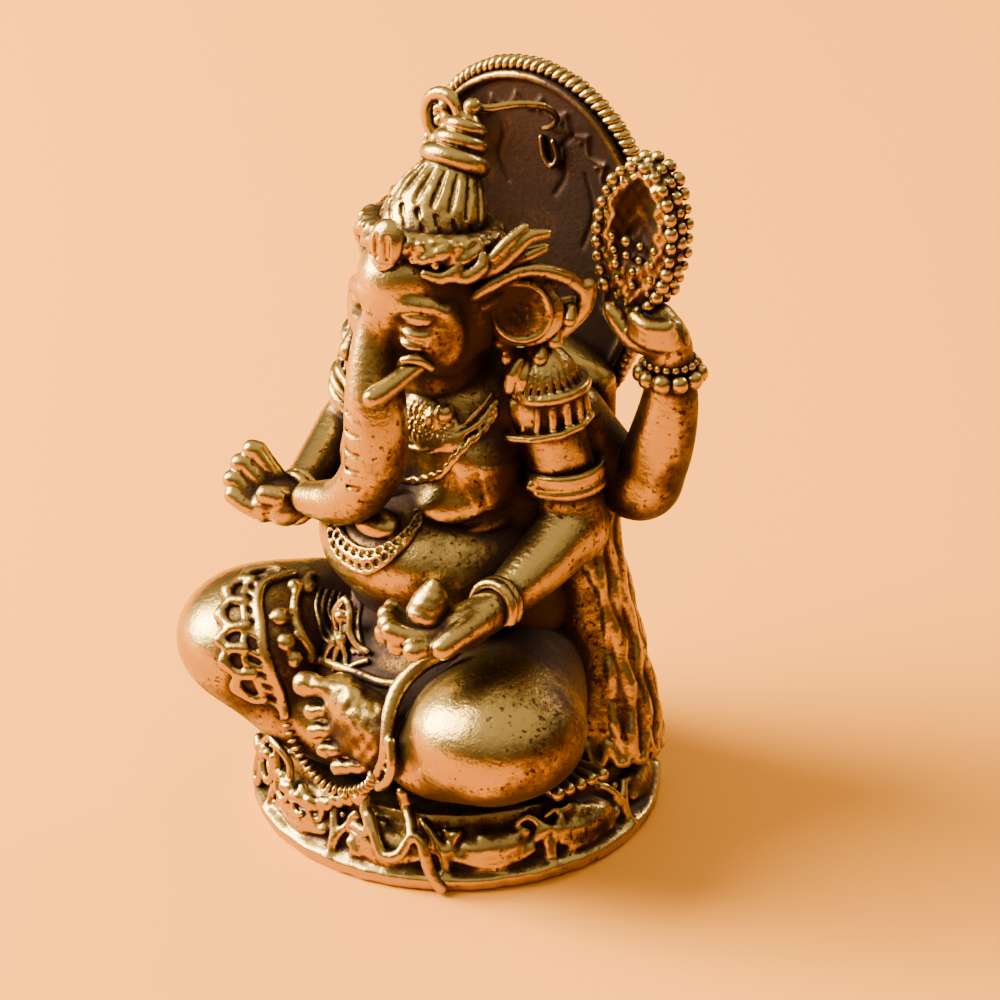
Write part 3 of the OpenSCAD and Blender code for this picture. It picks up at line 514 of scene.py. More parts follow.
def sculptLeftHand():
    left = Clay([1.8, -13.6, 17], [10.4, -5.4, 21.6])
    left.limb([[8.4, -6.6, 19.6, 1.3], [7.6, -8.6, 19.1, 1.35], [6.6, -9.8, 18.8, 1.25]], blend=0.8)
    left.limb([[7.8, -9.2, 18.8, 1.1], [5.8, -10.3, 18.4, 1.1]], blend=0.8)
    for finger in ([[6.9, -10.6, 18.9, 0.72], [5.6, -11.8, 18.9, 0.66], [4.6, -12.3, 19.2, 0.66]],
                   [[6.3, -10.2, 18.7, 0.72], [4.7, -11.4, 18.8, 0.66], [3.9, -11.8, 19.3, 0.64]],
                   [[5.8, -9.7, 18.6, 0.7], [4, -10.8, 18.8, 0.64], [3.3, -11.1, 19.4, 0.6]],
                   [[5.2, -9.2, 18.7, 0.66], [3.6, -10, 18.9, 0.6], [3, -10.2, 19.4, 0.55]]):
        left.limb(finger, blend=hands["crease"])
    left.limb([[8.4, -8.4, 19.4, 0.9], [8.3, -10.4, 19.2, 0.82], [8, -11.5, 18.8, 0.74]], blend=0.2)
    for x, y, z in ((3.7, -11.7, 18.5), (5, -12.1, 18.3), (6.4, -12.3, 18.4)):      # knuckles
        left.limb([[x + 0.9, y + 1.8, z + 0.1, 0.7], [x + 0.3, y + 0.6, z, 0.66],
                   [x, y, z, 0.74]], blend=0.12)
    finishClay(left, "front_left_hand")


def sculptSweet():
    sweetClay = Clay([3.8, -12.2, 18.4], [8, -8, 22.6])
    sweetClay.limb([[5.8, -10.2, 20, 1.35], [5.9, -10, 20.8, 1.05], [6, -9.8, 21.7, 0.5],
                    [6, -9.8, 22, 0.25]], blend=0.2)
    finishClay(sweetClay, "sweet")


def sculptRightHand():
    right = Clay([-12.6, -10.8, 19.8], [-5.4, -4.6, 26.6])
    right.limb([[-7.8, -6, 21.8, 1.25], [-8.2, -7.4, 22.1, 1.25], [-8.6, -8.4, 22, 1]], blend=0.7)
    right.egg([-7.4, -7.9, 21.9], [1.1, 1.2, 1.1], blend=0.4)
    for finger in ([[-8.6, -6.9, 22.8, 0.72], [-9.5, -7.2, 24.2, 0.64], [-10.1, -7.3, 24.9, 0.66],
                    [-10.4, -7.5, 25, 0.66]],
                   [[-8.8, -7.6, 22.5, 0.72], [-9.8, -7.9, 23.6, 0.64], [-10.6, -8, 24.2, 0.66],
                    [-10.8, -8.2, 24.2, 0.66]],
                   [[-8.8, -8.2, 22, 0.7], [-10, -8.6, 22.8, 0.62], [-10.7, -8.8, 23.3, 0.64],
                    [-10.9, -8.9, 23.3, 0.64]],
                   [[-8.6, -8.7, 21.6, 0.66], [-9.7, -9.2, 22.1, 0.6], [-10.5, -9.3, 22.5, 0.62]]):
        right.limb(finger, blend=hands["crease"])
    right.limb([[-7.5, -7.6, 22.3, 0.85], [-7.6, -8.4, 22.9, 0.75], [-8.2, -8.9, 23.1, 0.62]],
               blend=0.2)
    finishClay(right, "front_right_hand")


def sculptRearHands():
    rearLeft = Clay([8.6, 1.6, 31.6], [14.8, 7, 38])
    rearLeft.limb([[13, 5, 33, 1.4], [12.9, 4.6, 34.8, 1.5], [12.2, 4.4, 36, 1.3]], blend=0.6)
    rearLeft.limb([[12.6, 3.7, 34.9, 0.85], [11.3, 3.3, 35.1, 0.75], [10, 3.2, 36.2, 0.62],
                   [9.6, 3.2, 36.6, 0.5]], blend=0.2)
    for i in range(3):
        rearLeft.limb([[13.7 - 0.1 * i, 3.9 - 0.2 * i, 35.2 + 0.55 * i, 0.62],
                       [12.8, 3 - 0.1 * i, 35.4 + 0.5 * i, 0.56],
                       [11.7, 2.9, 35.7 + 0.5 * i, 0.5]], blend=0.15)
    finishClay(rearLeft, "rear_left_hand")
    rearRight = Clay([-10.4, 3.6, 34], [-5.8, 8, 41.8])
    rearRight.limb([[-8, 6, 35.4, 1.2], [-7.8, 6, 38, 1.25]], blend=0.5)
    for i in range(3):
        rearRight.limb([[-8.7, 5.3, 37 + 0.8 * i, 0.6], [-7.8, 4.7, 37.2 + 0.8 * i, 0.58],
                        [-6.9, 5, 37.4 + 0.8 * i, 0.52]], blend=0.15)
    finishClay(rearRight, "rear_right_hand")


# ---- back drape ----

drape = {"strands": 30, "strandR": 0.38, "sway": 2.8, "scallops": 24}


def drapeAt(z, angle):
    zs = [5, 7.5, 12.3, 18.4, 25, 30]
    w = np.interp(z, zs, [12.2, 11.6, 9.8, 7.9, 7.4, 7])
    front = np.interp(z, zs, [-1.2, -0.6, 0.6, 1.5, 3, 5])
    back = np.interp(z, zs, [10.6, 10.6, 10.3, 9.8, 9.5, 9.2])
    a = math.radians(angle)
    return [w * math.cos(a), (front + back) / 2 + (back - front) / 2 * math.sin(a), z]


def sculptDrape():
    clay = Clay([-12.9, -1.8, 4.6], [12.9, 11.6, 31], step=0.18)
    for z in np.arange(5.4, 30.2, 0.8):
        e, f = drapeAt(z, 0), drapeAt(z, 90)
        g = drapeAt(z, -90)
        clay.egg([0, (f[1] + g[1]) / 2, z], [e[0], (f[1] - g[1]) / 2, 2.2], blend=0.7)
    n = drape["strands"]
    for i in range(n):                            # crinkled cords hanging side by side
        a = -20 + 220 * i / (n - 1)
        line = []
        for z in np.arange(5.6, 25, 0.7):
            sway = drape["sway"] * (math.sin(0.55 * z + 2.4 * i) + 0.4 * math.sin(1.4 * z + i))
            r = drape["strandR"] * (0.9 + 0.25 * math.sin(1.9 * z + 1.7 * i)
                                    + 0.2 * math.sin(2.1 * i))
            line.append(drapeAt(z, a + sway) + [r])
        clay.limb(line, blend=0.14, spacing=0.8)
    for i in range(drape["scallops"]):            # looped border where it meets the stand
        a = -50 + 280 * (i + 0.5) / drape["scallops"]
        clay.limb([drapeAt(6.3, a - 4.5) + [0.3], drapeAt(5.1, a - 2) + [0.4],
                   drapeAt(5.1, a + 2) + [0.4], drapeAt(6.3, a + 4.5) + [0.3]], blend=0.15)
    finishClay(clay, "back_drape")


sculptLegs()
sculptFeet()
sculptLap()
sculptTorso()
sculptArms()
sculptHead()
sculptTusks()
sculptEar(1, "left_ear")
sculptEar(-1, "right_ear")
sculptLeftHand()
sculptSweet()
sculptRightHand()
sculptRearHands()
sculptDrape()
sculptPlinth()


# ---- ornaments, seated on the figure's surface ----

def onSurface(points, r, lift=-0.2):
    return [list(p) for p in seated([list(p)[:3] + [r] for p in points], lift)]


hem = {"lobeR": 0.5, "barR": 0.26, "archR": 0.36, "folds": 7, "bars": 13}


def sculptHems():
    clay = Clay([-12.5, -14, 4.2], [6.2, -4.4, 18.2])
    inner = [[-8.2, -6.4, 16.4], [-8.9, -8.4, 16.4], [-8.2, -9.9, 16], [-7.1, -10.9, 15],
             [-6.5, -11.5, 14], [-5.9, -11.6, 12.6], [-5.6, -11, 10.8], [-5.1, -11.1, 9.2]]
    middle = [[-8.9, -6.4, 16.4], [-9.8, -9, 16.3], [-8.8, -10.6, 15.6], [-7.9, -11.5, 15],
              [-7.6, -12.1, 14.1], [-7.2, -12.4, 12.9], [-6.6, -12.1, 11.7], [-6.3, -11.6, 10]]
    outer = [[-9.9, -6.8, 16.2], [-10.8, -9.3, 15.9], [-10, -11, 15.3], [-9.1, -12, 14.4],
             [-8.7, -12.4, 13.4], [-8, -12.7, 12.4], [-7.5, -12.6, 11.2], [-7.1, -12, 9.9]]
    clay.limb(onSurface(smoothPath(inner, 0.8), 0.42), blend=0.2)
    clay.limb(onSurface(smoothPath(middle, 0.8), 0.3), blend=0.2)
    a, b, c = (smoothPath(line, 0.55) for line in (inner, middle, outer))
    count = hem["bars"]
    for i in range(count):                          # bars and lobes of the openwork band
        u = (i + 0.5) / count
        p, q, r = (line[int(u * (len(line) - 1))] for line in (a, b, c))
        clay.limb(onSurface([p, (p + q) / 2, q], hem["barR"]), blend=0.12)
        if i % 2 == 0 and i + 2 < count:              # scallops: a chain of arches
            u2 = (i + 2.5) / count
            q2, r2 = (line[int(u2 * (len(line) - 1))] for line in (b, c))
            arch = [q, (q + 2 * r) / 3, (r + r2) / 2 + (r - q) * 0.25, (q2 + 2 * r2) / 3, q2]
            clay.limb(onSurface(arch, hem["archR"], 0.1), blend=0.15)
            clay.balls(onSurface([(r + r2) / 2 + (r - q) * 0.25], hem["lobeR"], -0.2), blend=0.3)
    top = [[-7.4, -7.2, 16.2], [-6.6, -6.6, 16.2]]
    clay.balls(onSurface(top, 0.5, 0), blend=0.2)
    clay.limb([[5.6, -7.6, 15.9, 0.5], [4.3, -8.6, 15.2, 0.55], [3.6, -10.2, 14, 0.55],
               [3.7, -11.4, 12.6, 0.5], [4.1, -12.3, 11, 0.42], [4, -12.4, 9.8, 0.4],
               [3.4, -12.2, 8.6, 0.36], [3.2, -12, 7.7, 0.3]], blend=0.2)
    clay.limb([[4.6, -12.5, 11.4, 0.3], [5, -12.9, 10, 0.32], [4.6, -12.9, 8.7, 0.3],
               [3.6, -12.5, 7.7, 0.3]], blend=0.2)
    for z in (11, 10.2, 9.4):
        clay.limb([[4, -12.4, z, 0.2], [4.8, -12.8, z - 0.3, 0.2]], blend=0.12)
    border = [[-7.3, -5.6, 16.3], [-6.8, -7.6, 16], [-6.1, -8.6, 15.4], [-5.2, -9.2, 14.4],
              [-4.4, -9, 13.1]]
    clay.limb(onSurface(smoothPath(border, 0.7), 0.36, -0.1), blend=0.3)
    for p, r in (([-6.5, -9.6, 15.4], 0.75), ([-5.5, -10.3, 14], 0.7), ([-5, -10.1, 12.8], 0.65)):
        clay.balls(onSurface([p], r, -0.35), blend=0.4)
    first = np.array([[-6.3, -5.9, 15.7], [-5.7, -7.1, 15.2], [-4.8, -7.8, 14],
                      [-3.2, -8.6, 13.3]])
    last = np.array([[-4, -4.4, 15.4], [-3.2, -5.6, 15.2], [-2.2, -6.8, 14.4], [-0.6, -8.2, 13.7]])
    for u in np.linspace(0, 1, hem["folds"]):         # folds of the lap cloth
        clay.limb(onSurface(smoothPath(first + u * (last - first), 0.6), 0.17, 0), blend=0.2)
    waist = [[-4.4, -9.1, 12.6], [-2.7, -9, 12.7], [-0.5, -9.2, 12.9], [1.1, -9.2, 12.9],
             [2.4, -8.8, 13]]
    clay.limb(onSurface(smoothPath(waist, 0.7), 0.34, 0.1), blend=0.3)
    finishClay(clay, "dhoti_hems")


def sculptTassel():
    clay = Clay([-4.2, -10.6, 11], [1.6, -6.4, 18.2], step=0.1)
    clay.limb([[-3.4, -7.9, 14.6, 0.2], [-3.7, -7.7, 15.6, 0.26], [-3, -7.5, 16.7, 0.26],
               [-2.3, -7.8, 16.2, 0.26], [-2, -8.3, 15.1, 0.26], [-1.2, -8.5, 14.4, 0.26],
               [-0.4, -8.5, 14.3, 0.22]], blend=0.12)
    clay.balls([[-2.9, -8, 15.7, 0.52], [-2.5, -8.5, 14.4, 0.46]], blend=0.1)
    for p, q in (([-3.4, -8.5, 13.6, 0.24], [-3.6, -8.8, 12.8, 0.2]),
                 ([-2.7, -8.8, 13.4, 0.26], [-2.6, -9.2, 12.5, 0.2]),
                 ([-1.9, -8.8, 13.5, 0.24], [-1.6, -9.2, 12.8, 0.22])):
        clay.limb([[-2.5, -8.5, 14.4, 0.22], p, q], blend=0.12)
    clay.limb([[-1.6, -9.2, 12.8, 0.22], [-0.9, -9, 13.4, 0.22], [-0.2, -8.8, 13.8, 0.2]],
              blend=0.12)
    finishClay(clay, "waist_tassel")


garland = {"dotR": 0.24, "dots": 17}


def sculptGarland():
    clay = Clay([-6.2, -10, 18.6], [3.6, -4, 25.4], step=0.1)
    middle = [[-4.6, -6.2, 22.6], [-3.9, -7.2, 21.5], [-2.8, -7.9, 20.9], [-1.5, -8.3, 20.7],
              [-0.2, -8.4, 20.8], [0.8, -8.1, 21.4], [1.5, -7.4, 22.1], [1.8, -6.5, 22.9],
              [1.6, -5.7, 23.6]]
    line = smoothPath(onSurface(middle, 0.5, -0.4), 0.35)
    n = len(line)
    for i, p in enumerate(line):
        p[3] = 0.35 + 0.4 * math.sin(math.pi * i / (n - 1))
    clay.limb(line, blend=0.2, rounded=False)
    for drop, r in ((0.62, 0.2), (-0.62, 0.24), (0, 0.16)):
        edge = [list(p[:3] + np.array([0, 0.25 * drop, drop * p[3] * 1.35])) for p in line[::3]]
        clay.limb(onSurface(edge, r, 0.9), blend=0.1)
    for i in range(garland["dots"]):
        p = line[int((i + 0.5) / garland["dots"] * (n - 1))]
        for drop in (0.45, -0.4):
            spot = onSurface([p[:3] + np.array([0, 0.1 * drop, drop * p[3] * 1.1])],
                             garland["dotR"], 0.1 + 0.5 * p[3] / garland["dotR"])
            clay.balls(spot, blend=0.06, cut=True)
    clay.egg([-0.7, -6.9, 22.6], [1.7, 1.2, 1], blend=0.3)
    finishClay(clay, "belly_garland")


chestLook = {"stipples": 110}


def sculptNecklaces():
    clay = Clay([-6.4, -6.8, 23.8], [6.4, -0.4, 32.6], step=0.1)
    for u in np.arange(-1, 1.01, 0.25):             # pendant plate, then its stipple
        for v in np.arange(-1, 1.01, 0.34):
            if u * u + v * v < 1.1:
                clay.balls(onSurface([[1.5 + 2.2 * u, -4.4, 29.3 + 1.5 * v]], 0.62, -0.62), blend=0.5)
    for i in range(chestLook["stipples"]):
        reach = math.sqrt((i + 0.5) / chestLook["stipples"])
        clay.balls(onSurface([[1.5 + 2.4 * reach * math.cos(2.4 * i), -4.6,
                               29.3 + 1.7 * reach * math.sin(2.4 * i)]], 0.15, 2),
                   blend=0.06, cut=True)
    cord = [[-4.6, -2.4, 29.8], [-3, -3.6, 28.2], [-1.4, -4.4, 27.5], [0.3, -4.6, 27.3],
            [1.9, -4.4, 27.6], [3, -3.8, 28.2], [3.8, -3.2, 29], [4.4, -2.6, 29.9],
            [4.8, -2, 30.8]]
    clay.limb(onSurface(smoothPath(cord, 0.7), 0.26, 0), blend=0.1)
    clay.limb(onSurface(smoothPath([[x * 0.93, y - 0.1, z + 0.55] for x, y, z in cord], 0.7),
                        0.16, 0), blend=0.1)
    strand = [[-4.4, -2.6, 28.2], [-3, -3.9, 26.4], [-1.6, -4.6, 25.2], [-0.3, -4.6, 24.9],
              [1, -4.5, 25.3], [2.2, -4.4, 26], [3, -4.2, 26.6], [3.8, -3.4, 27.7],
              [4.4, -2.7, 29], [4.9, -2, 30.2]]
    line = smoothPath(onSurface(smoothPath(strand, 0.5), 0.3, -0.1), 0.25)
    for phase in (0, math.pi):                      # two cords twisted together
        twisted = [[p[0] + 0.1 * math.cos(0.75 * i + phase), p[1] - 0.08, p[2]
                    + 0.17 * math.sin(0.75 * i + phase), 0.18] for i, p in enumerate(line)]
        clay.limb(twisted, blend=0.06, rounded=False)
    drop = np.array(onSurface([[1.7, -4.4, 29.5]], 0.5, 0)[0][:3])
    clay.egg(drop, [0.62, 0.62, 0.85], blend=0.1)
    clay.egg(drop + [0.1, -0.62, 0.1], [0.3, 0.25, 0.45], blend=0.06, cut=True)
    finishClay(clay, "necklaces")


def ringAt(c, r, tube, tilt=(0, 0), count=24, wave=0.0, waves=8):
    out = []
    for i in range(count):
        a = 2 * math.pi * i / count
        rr = r + wave * math.cos(waves * a)
        x, y = rr * math.cos(a), rr * math.sin(a)
        out.append([c[0] + x, c[1] + y, c[2] + tilt[0] * x + tilt[1] * y, tube])
    return out


def pleatedTier(clay, c, topR, topZ, lowR, lowZ, count, tube, tilt):
    for i in range(count):
        a = 2 * math.pi * i / count
        ends = []
        for r, z in ((topR, topZ), ((topR * 0.35 + lowR * 0.65), (topZ + lowZ) / 2), (lowR, lowZ)):
            x, y = r * math.cos(a), r * math.sin(a)
            ends.append([c[0] + x, c[1] + y, z + tilt[0] * x + tilt[1] * y, tube])
        clay.limb(ends, blend=0.1)


epaulet = {"tilt": (0.18, 0.05), "finePleats": 26, "widePleats": 15}


def sculptEpaulets():
    clay = Clay([-11, -3.6, 26], [11, 5, 35.4])
    for c, rise, t in (([6.9, 0.7], 0, epaulet["tilt"]), ([-7.1, 1.5], -1.4, (-0.4, 0))):
        side = 1 if c[0] > 0 else -1
        clay.limb([c + [31.2 + rise, 1.9], [c[0] - 0.5 * side, c[1] - 0.3, 33 + rise, 1.2],
                   [c[0] - 0.8 * side, c[1] - 0.5, 34 + rise, 0.7]], blend=0.3)
        clay.egg([c[0], c[1], 30.8 + rise], [2.2, 2.2, 1.9], blend=0.3)
        pleatedTier(clay, [c[0] - 0.3 * side, c[1] - 0.2], 0.6, 34.1 + rise, 2.15, 31.7 + rise,
                    epaulet["finePleats"], 0.2, t)
        clay.limb(ringAt(c + [31.45 + rise], 2.2, 0.38, t), blend=0.1, closed=True)
        pleatedTier(clay, c, 2, 31.1 + rise, 2.3, 29.4 + rise, epaulet["widePleats"], 0.3, t)
        clay.limb(ringAt([c[0] - 0.3 * side, c[1] - 0.2, 29.1 + rise], 2.8, 0.27, t, 32, 0.08, 11),
                  blend=0.1, closed=True)
    finishClay(clay, "epaulets")


def sculptArmlets():
    clay = Clay([-12, -2.4, 23.4], [11.4, 4.8, 28.4])
    t = (0.12, 0)
    clay.limb(ringAt([7.9, 0.85, 26.25], 2.35, 0.26, t), blend=0.15, closed=True)
    clay.limb(ringAt([7.95, 0.85, 25.85], 2.2, 0.42, t), blend=0.2, closed=True)
    clay.limb(ringAt([8, 0.85, 25.2], 2.25, 0.42, t), blend=0.2, closed=True)
    clay.limb(ringAt([8, 0.85, 25.52], 2.66, 0.1, t), blend=0.1, closed=True, cut=True)
    clay.balls([[7.2, -1.6, 25.6, 0.4]], blend=0.3)
    t = (-0.5, 0)
    clay.limb(ringAt([-8.6, 1.8, 26.4], 2.1, 0.3, t), blend=0.15, closed=True)
    clay.limb(ringAt([-8.7, 1.8, 25.6], 2.1, 0.34, t), blend=0.15, closed=True)
    finishClay(clay, "armlets")


def sculptBangles():
    clay = Clay([-10.4, -8.6, 19.6], [10.8, -4.4, 24], step=0.12)
    for c, r in (([8.35, -6.7, 19.75], 1.5), ([-8, -6.2, 21.9], 1.45)):
        for k, tube in ((-0.28, 0.34), (0.32, 0.3)):
            pts = []
            for i in range(20):
                a = 2 * math.pi * i / 20
                x, z = r * math.cos(a), r * math.sin(a)
                pts.append([c[0] + x, c[1] + k + 0.18 * z, c[2] + z, tube])
            clay.limb(pts, blend=0.12, closed=True)
    finishClay(clay, "wrist_bangles")


def sculptEarrings():
    for side, name in ((1, "left_earring"), (-1, "right_earring")):
        tuck = side if side > 0 else side * ear["rightTuck"]
        low, high = [4.2 * tuck, -3, 30.6], [9.4 * tuck, 2.4, 38]
        clay = Clay(np.minimum(low, high), np.maximum(low, high), step=0.1)
        for p in (([5.9, -1, 33.6, 0.32], [5.7, -1.5, 32.8, 0.48], [5.6, -1.7, 31.9, 0.4]),
                  ([6.3, -0.6, 33.4, 0.32], [6.3, -1.1, 32.5, 0.5], [6.2, -1.3, 31.6, 0.42]),
                  ([6.8, -0.1, 34.6, 0.36], [7.1, -0.6, 34, 0.48]),
                  ([7.5, 0.6, 35.5, 0.36], [7.7, 0.1, 35, 0.48]),
                  ([8.1, 1.2, 36.9, 0.36], [8.3, 0.8, 36.4, 0.48])):
            clay.limb([[q[0] * tuck, q[1], q[2], q[3]] for q in p], blend=0.1)
        finishClay(clay, name)


# ---- crown ----

crown = {"domeR": 3.55, "tilt": 31, "bandTilt": 10, "ribs": 17, "leaves": 12}
crownBase = np.array([0, -2.2, 41.2])


def onCrown(x, y, rise, r, tilt=None):
    a = math.radians(crown["tilt"] if tilt is None else tilt)
    return [x, crownBase[1] + y * math.cos(a) + rise * math.sin(a),
            crownBase[2] - y * math.sin(a) + rise * math.cos(a), r]


def crownRing(rise, r, tube, tilt=None, count=28, wave=0.0, waves=9):
    out = []
    for i in range(count):
        a = 2 * math.pi * i / count
        rr = r + wave * math.cos(waves * a)
        out.append(onCrown(rr * math.cos(a), rr * math.sin(a), rise, tube, tilt))
    return out


def sculptDome():
    dome = Clay([-4.6, -7, 38], [4.6, 5.4, 47.4], step=0.1)
    core = ((-0.6, 3.45), (0.8, 3.2), (2.1, 2.6), (3.2, 2), (4.2, 1.65))
    dome.limb([onCrown(0, 0, rise, tube) for rise, tube in core], blend=0.3)

    def wall(rise):                                  # the dome's own radius at a height
        return max(math.sqrt(max(tube ** 2 - (rise - at) ** 2, 0)) for at, tube in core)
    n = crown["ribs"]
    for i in range(n):                               # slots between the ribs, dots below
        a = 2 * math.pi * i / n
        dome.groove([onCrown(wall(rise) * math.cos(a), wall(rise) * math.sin(a), rise, tube)
                     for rise, tube in ((3.6, 0.12), (2.8, 0.2), (2, 0.24), (1.3, 0.16))],
                    blend=0.12)
        for b, rise in ((a + 0.12, 0.6), (a + 0.28, 0)):
            dome.groove([onCrown(wall(rise + 0.25) * math.cos(b), wall(rise + 0.25) * math.sin(b),
                                 rise + 0.25, 0.17),
                         onCrown(wall(rise - 0.2) * math.cos(b + 0.09),
                                 wall(rise - 0.2) * math.sin(b + 0.09), rise - 0.2, 0.17)],
                        blend=0.1)
    dome.uneven(0.03, 1.3)
    finishClay(dome, "crown_dome")


def sculptCrownBand():
    band = Clay([-5.6, -8.2, 38.6], [5.6, 4.4, 44], step=0.1)
    r, t = crown["domeR"], crown["bandTilt"]
    band.limb(crownRing(-0.15, r + 0.05, 0.95, t), blend=0.2, closed=True)
    for i in range(crown["leaves"]):                 # wreath of curled leaves
        a = 2 * math.pi * (i + 0.3) / crown["leaves"]
        leaf = []
        for u, rise, tube, out in ((-0.26, -0.8, 0.28, 0.66), (-0.08, -0.5, 0.44, 0.76),
                                   (0.14, -0.05, 0.5, 0.76), (0.16, 0.45, 0.34, 0.6),
                                   (0.02, 0.45, 0.24, 0.68)):
            leaf.append(onCrown((r + out) * math.cos(a + u), (r + out) * math.sin(a + u),
                                rise, tube, t))
        band.limb(leaf, blend=0.2)
        for u, rise in ((-0.2, 0.3), (0.05, -0.9)):
            band.balls([onCrown((r + 0.8) * math.cos(a + u), (r + 0.8) * math.sin(a + u), rise,
                                0.28, t)], blend=0.15)
    band.uneven(0.05, 1.0)
    finishClay(band, "crown_band")


def sculptCrownJewel():
    jewel = Clay([-1.8, -8.6, 39.6], [2.4, -5, 45], step=0.1)
    jewel.egg([0.2, -6.8, 42.1], [1.2, 0.9, 1.5], turn=(-8, 0, 0), blend=0.2)
    for x in (-0.38, 0.38):
        jewel.limb([[0.35 + x, -7.55, 41.4, 0.2], [0.35 + x * 1.1, -7.5, 42.7, 0.2]], blend=0.08,
                   cut=True)
    jewel.limb([[-0.75, -7, 40.9, 0.2], [0, -7.2, 40.5, 0.26], [0.75, -7, 40.9, 0.2]], blend=0.12)
    jewel.balls([[0, -6.9, 43, 0.34]], blend=0.15)
    finishClay(jewel, "crown_jewel")


def sculptCrownRings():
    rings = Clay([-3.2, -3.4, 44], [3.2, 4.6, 49.6])
    for rise, radius, tube in ((4.5, 1.62, 0.66), (5.65, 1.25, 0.5), (6.6, 0.95, 0.44)):
        rings.limb(crownRing(rise, radius - 0.02, tube), blend=0.1, closed=True)
        rings.balls([onCrown(0, 0, rise, radius)], blend=0.1)
    rings.limb([onCrown(0, 0, 4, 1.3), onCrown(0, 0, 7, 0.6)], blend=0.1)
    for rise, radius in ((5.1, 1.5), (6.15, 1.2)):
        rings.limb(crownRing(rise, radius * 0.82, 0.18), blend=0.08, closed=True)
    finishClay(rings, "crown_rings")


def sculptFinial():
    finial = Clay([-1.2, 0.6, 46.8], [1.2, 3.4, 50], step=0.1)
    finial.limb([onCrown(0, 0, 6.9, 0.5), onCrown(0, 0, 7.4, 0.42)], blend=0.1)
    finial.balls([onCrown(0, 0, 7.9, 0.55)], blend=0.12)
    finishClay(finial, "crown_finial")


def sculptScrolls():
    scrolls = Clay([-6.6, -6.6, 37.9], [7.6, 2.8, 43.4], step=0.1)
    for side in (1, -0.84):
        for line in ([[2.4, -5.9, 40.3, 0.36], [3.1, -5.2, 40, 0.5], [3.7, -4.6, 40.4, 0.52],
                      [3.8, -4.4, 40.9, 0.34]],
                     [[3.5, -5, 40.2, 0.34], [4.2, -4.2, 40, 0.52], [4.7, -3.4, 40.5, 0.52],
                      [4.6, -3.2, 41.1, 0.36]],
                     [[4.4, -3.6, 40, 0.36], [5, -2.5, 40.2, 0.5], [5.6, -1.4, 41.1, 0.55],
                      [6.1, -0.5, 41.8, 0.46], [6.7, 0.6, 41.8, 0.3]],
                     [[5, -2.6, 40.9, 0.36], [5.4, -1.6, 41.7, 0.42], [5.9, -0.6, 42.4, 0.3]],
                     [[5.2, -1.8, 40, 0.36], [5.9, -0.5, 40.5, 0.48], [6.5, 0.6, 40.8, 0.3]]):
            flat = 1 if side > 0 else 0.4
            scrolls.limb([[x * side, y, 40 + (z - 40) * flat, r2] for x, y, z, r2 in line],
                         blend=0.2)
    finishClay(scrolls, "crown_scrolls")


def sculptCrownRibbon():
    ribbon = Clay([-1, 0.6, 42.4], [5.6, 9, 49], step=0.1)
    ribbon.limb([onCrown(0, 0, 7.9, 0.26), [0.6, 2.8, 47.7, 0.26], [1.6, 4, 47.8, 0.26],
                 [2.6, 5.6, 47.4, 0.24], [2.9, 6.6, 46.4, 0.2], [2.1, 7.2, 45.4, 0.2],
                 [1.2, 7.6, 44.9, 0.2]], blend=0.1)
    ribbon.limb([[1.9, 7.6, 44.2, 0.2], [2.2, 7.7, 43.2, 0.2], [1.7, 7.7, 42.4, 0.2],
                 [1.1, 7.7, 43, 0.2], [0.9, 7.7, 44.2, 0.2]], blend=0.1)
    finishClay(ribbon, "crown_ribbon")


# ---- fringe and ribbon over the plinth ----

def sculptFringe():
    clay = Clay([-10.6, -13.3, 0.6], [3.4, -6.2, 9.6])
    shift = 5 - baseH
    cord = [[-9, -9.2, 4.9], [-7.6, -10.3, 5.2], [-6, -11, 5], [-4.6, -11.8, 4.6],
            [-3.2, -12.2, 4.2], [-1.9, -12, 4.2], [-0.6, -11.8, 4.8], [0.6, -11.6, 5.3],
            [1.8, -11.8, 6]]
    beads = smoothPath(cord, 0.62)
    for i, p in enumerate(beads):
        clay.balls([[p[0], p[1], p[2] + 0.16 * (-1) ** i, 0.42 + 0.08 * math.sin(2.3 * i)]],
                   blend=0.25)
    for line in ([[-7.2, -10.4, 6.6], [-8.6, -9.3, 5.2], [-9.4, -9, 3.4], [-9.2, -9.4, 2.2],
                  [-8.4, -10, 2.9], [-8, -10.2, 4.4]],
                 [[-7.8, -10, 6], [-7.6, -10.6, 4.6], [-6.9, -11, 3.9], [-6.2, -11.3, 4.6],
                  [-6.2, -11.2, 6]],
                 [[-6.1, -10.9, 6.8], [-5.8, -11.2, 5.6], [-5.6, -11.5, 4.2], [-4.8, -11.9, 3.6],
                  [-4.2, -12, 4.2]],
                 [[-7.4, -10.2, 7], [-6.4, -11, 7.2], [-5.3, -11.4, 6.9], [-4.6, -11.4, 6.2],
                  [-4.3, -11.7, 5], [-3.9, -12, 4.2], [-3.3, -12.3, 3.4], [-2.8, -12.4, 3.6]],
                 [[-3.2, -11.9, 5.2], [-2.6, -12.2, 4.6], [-2.1, -12.3, 3.6], [-1.5, -12.2, 3.5],
                  [-1.3, -12, 4.4]],
                 [[-9.9, -7.4, 5.6], [-10.2, -7.6, 4.2], [-9.9, -8.2, 3.2], [-9.4, -8.4, 4]]):
        clay.limb([[p[0], p[1], p[2] - shift * 0.5, 0.26] for p in line], blend=0.12)
    finishClay(clay, "base_fringe")


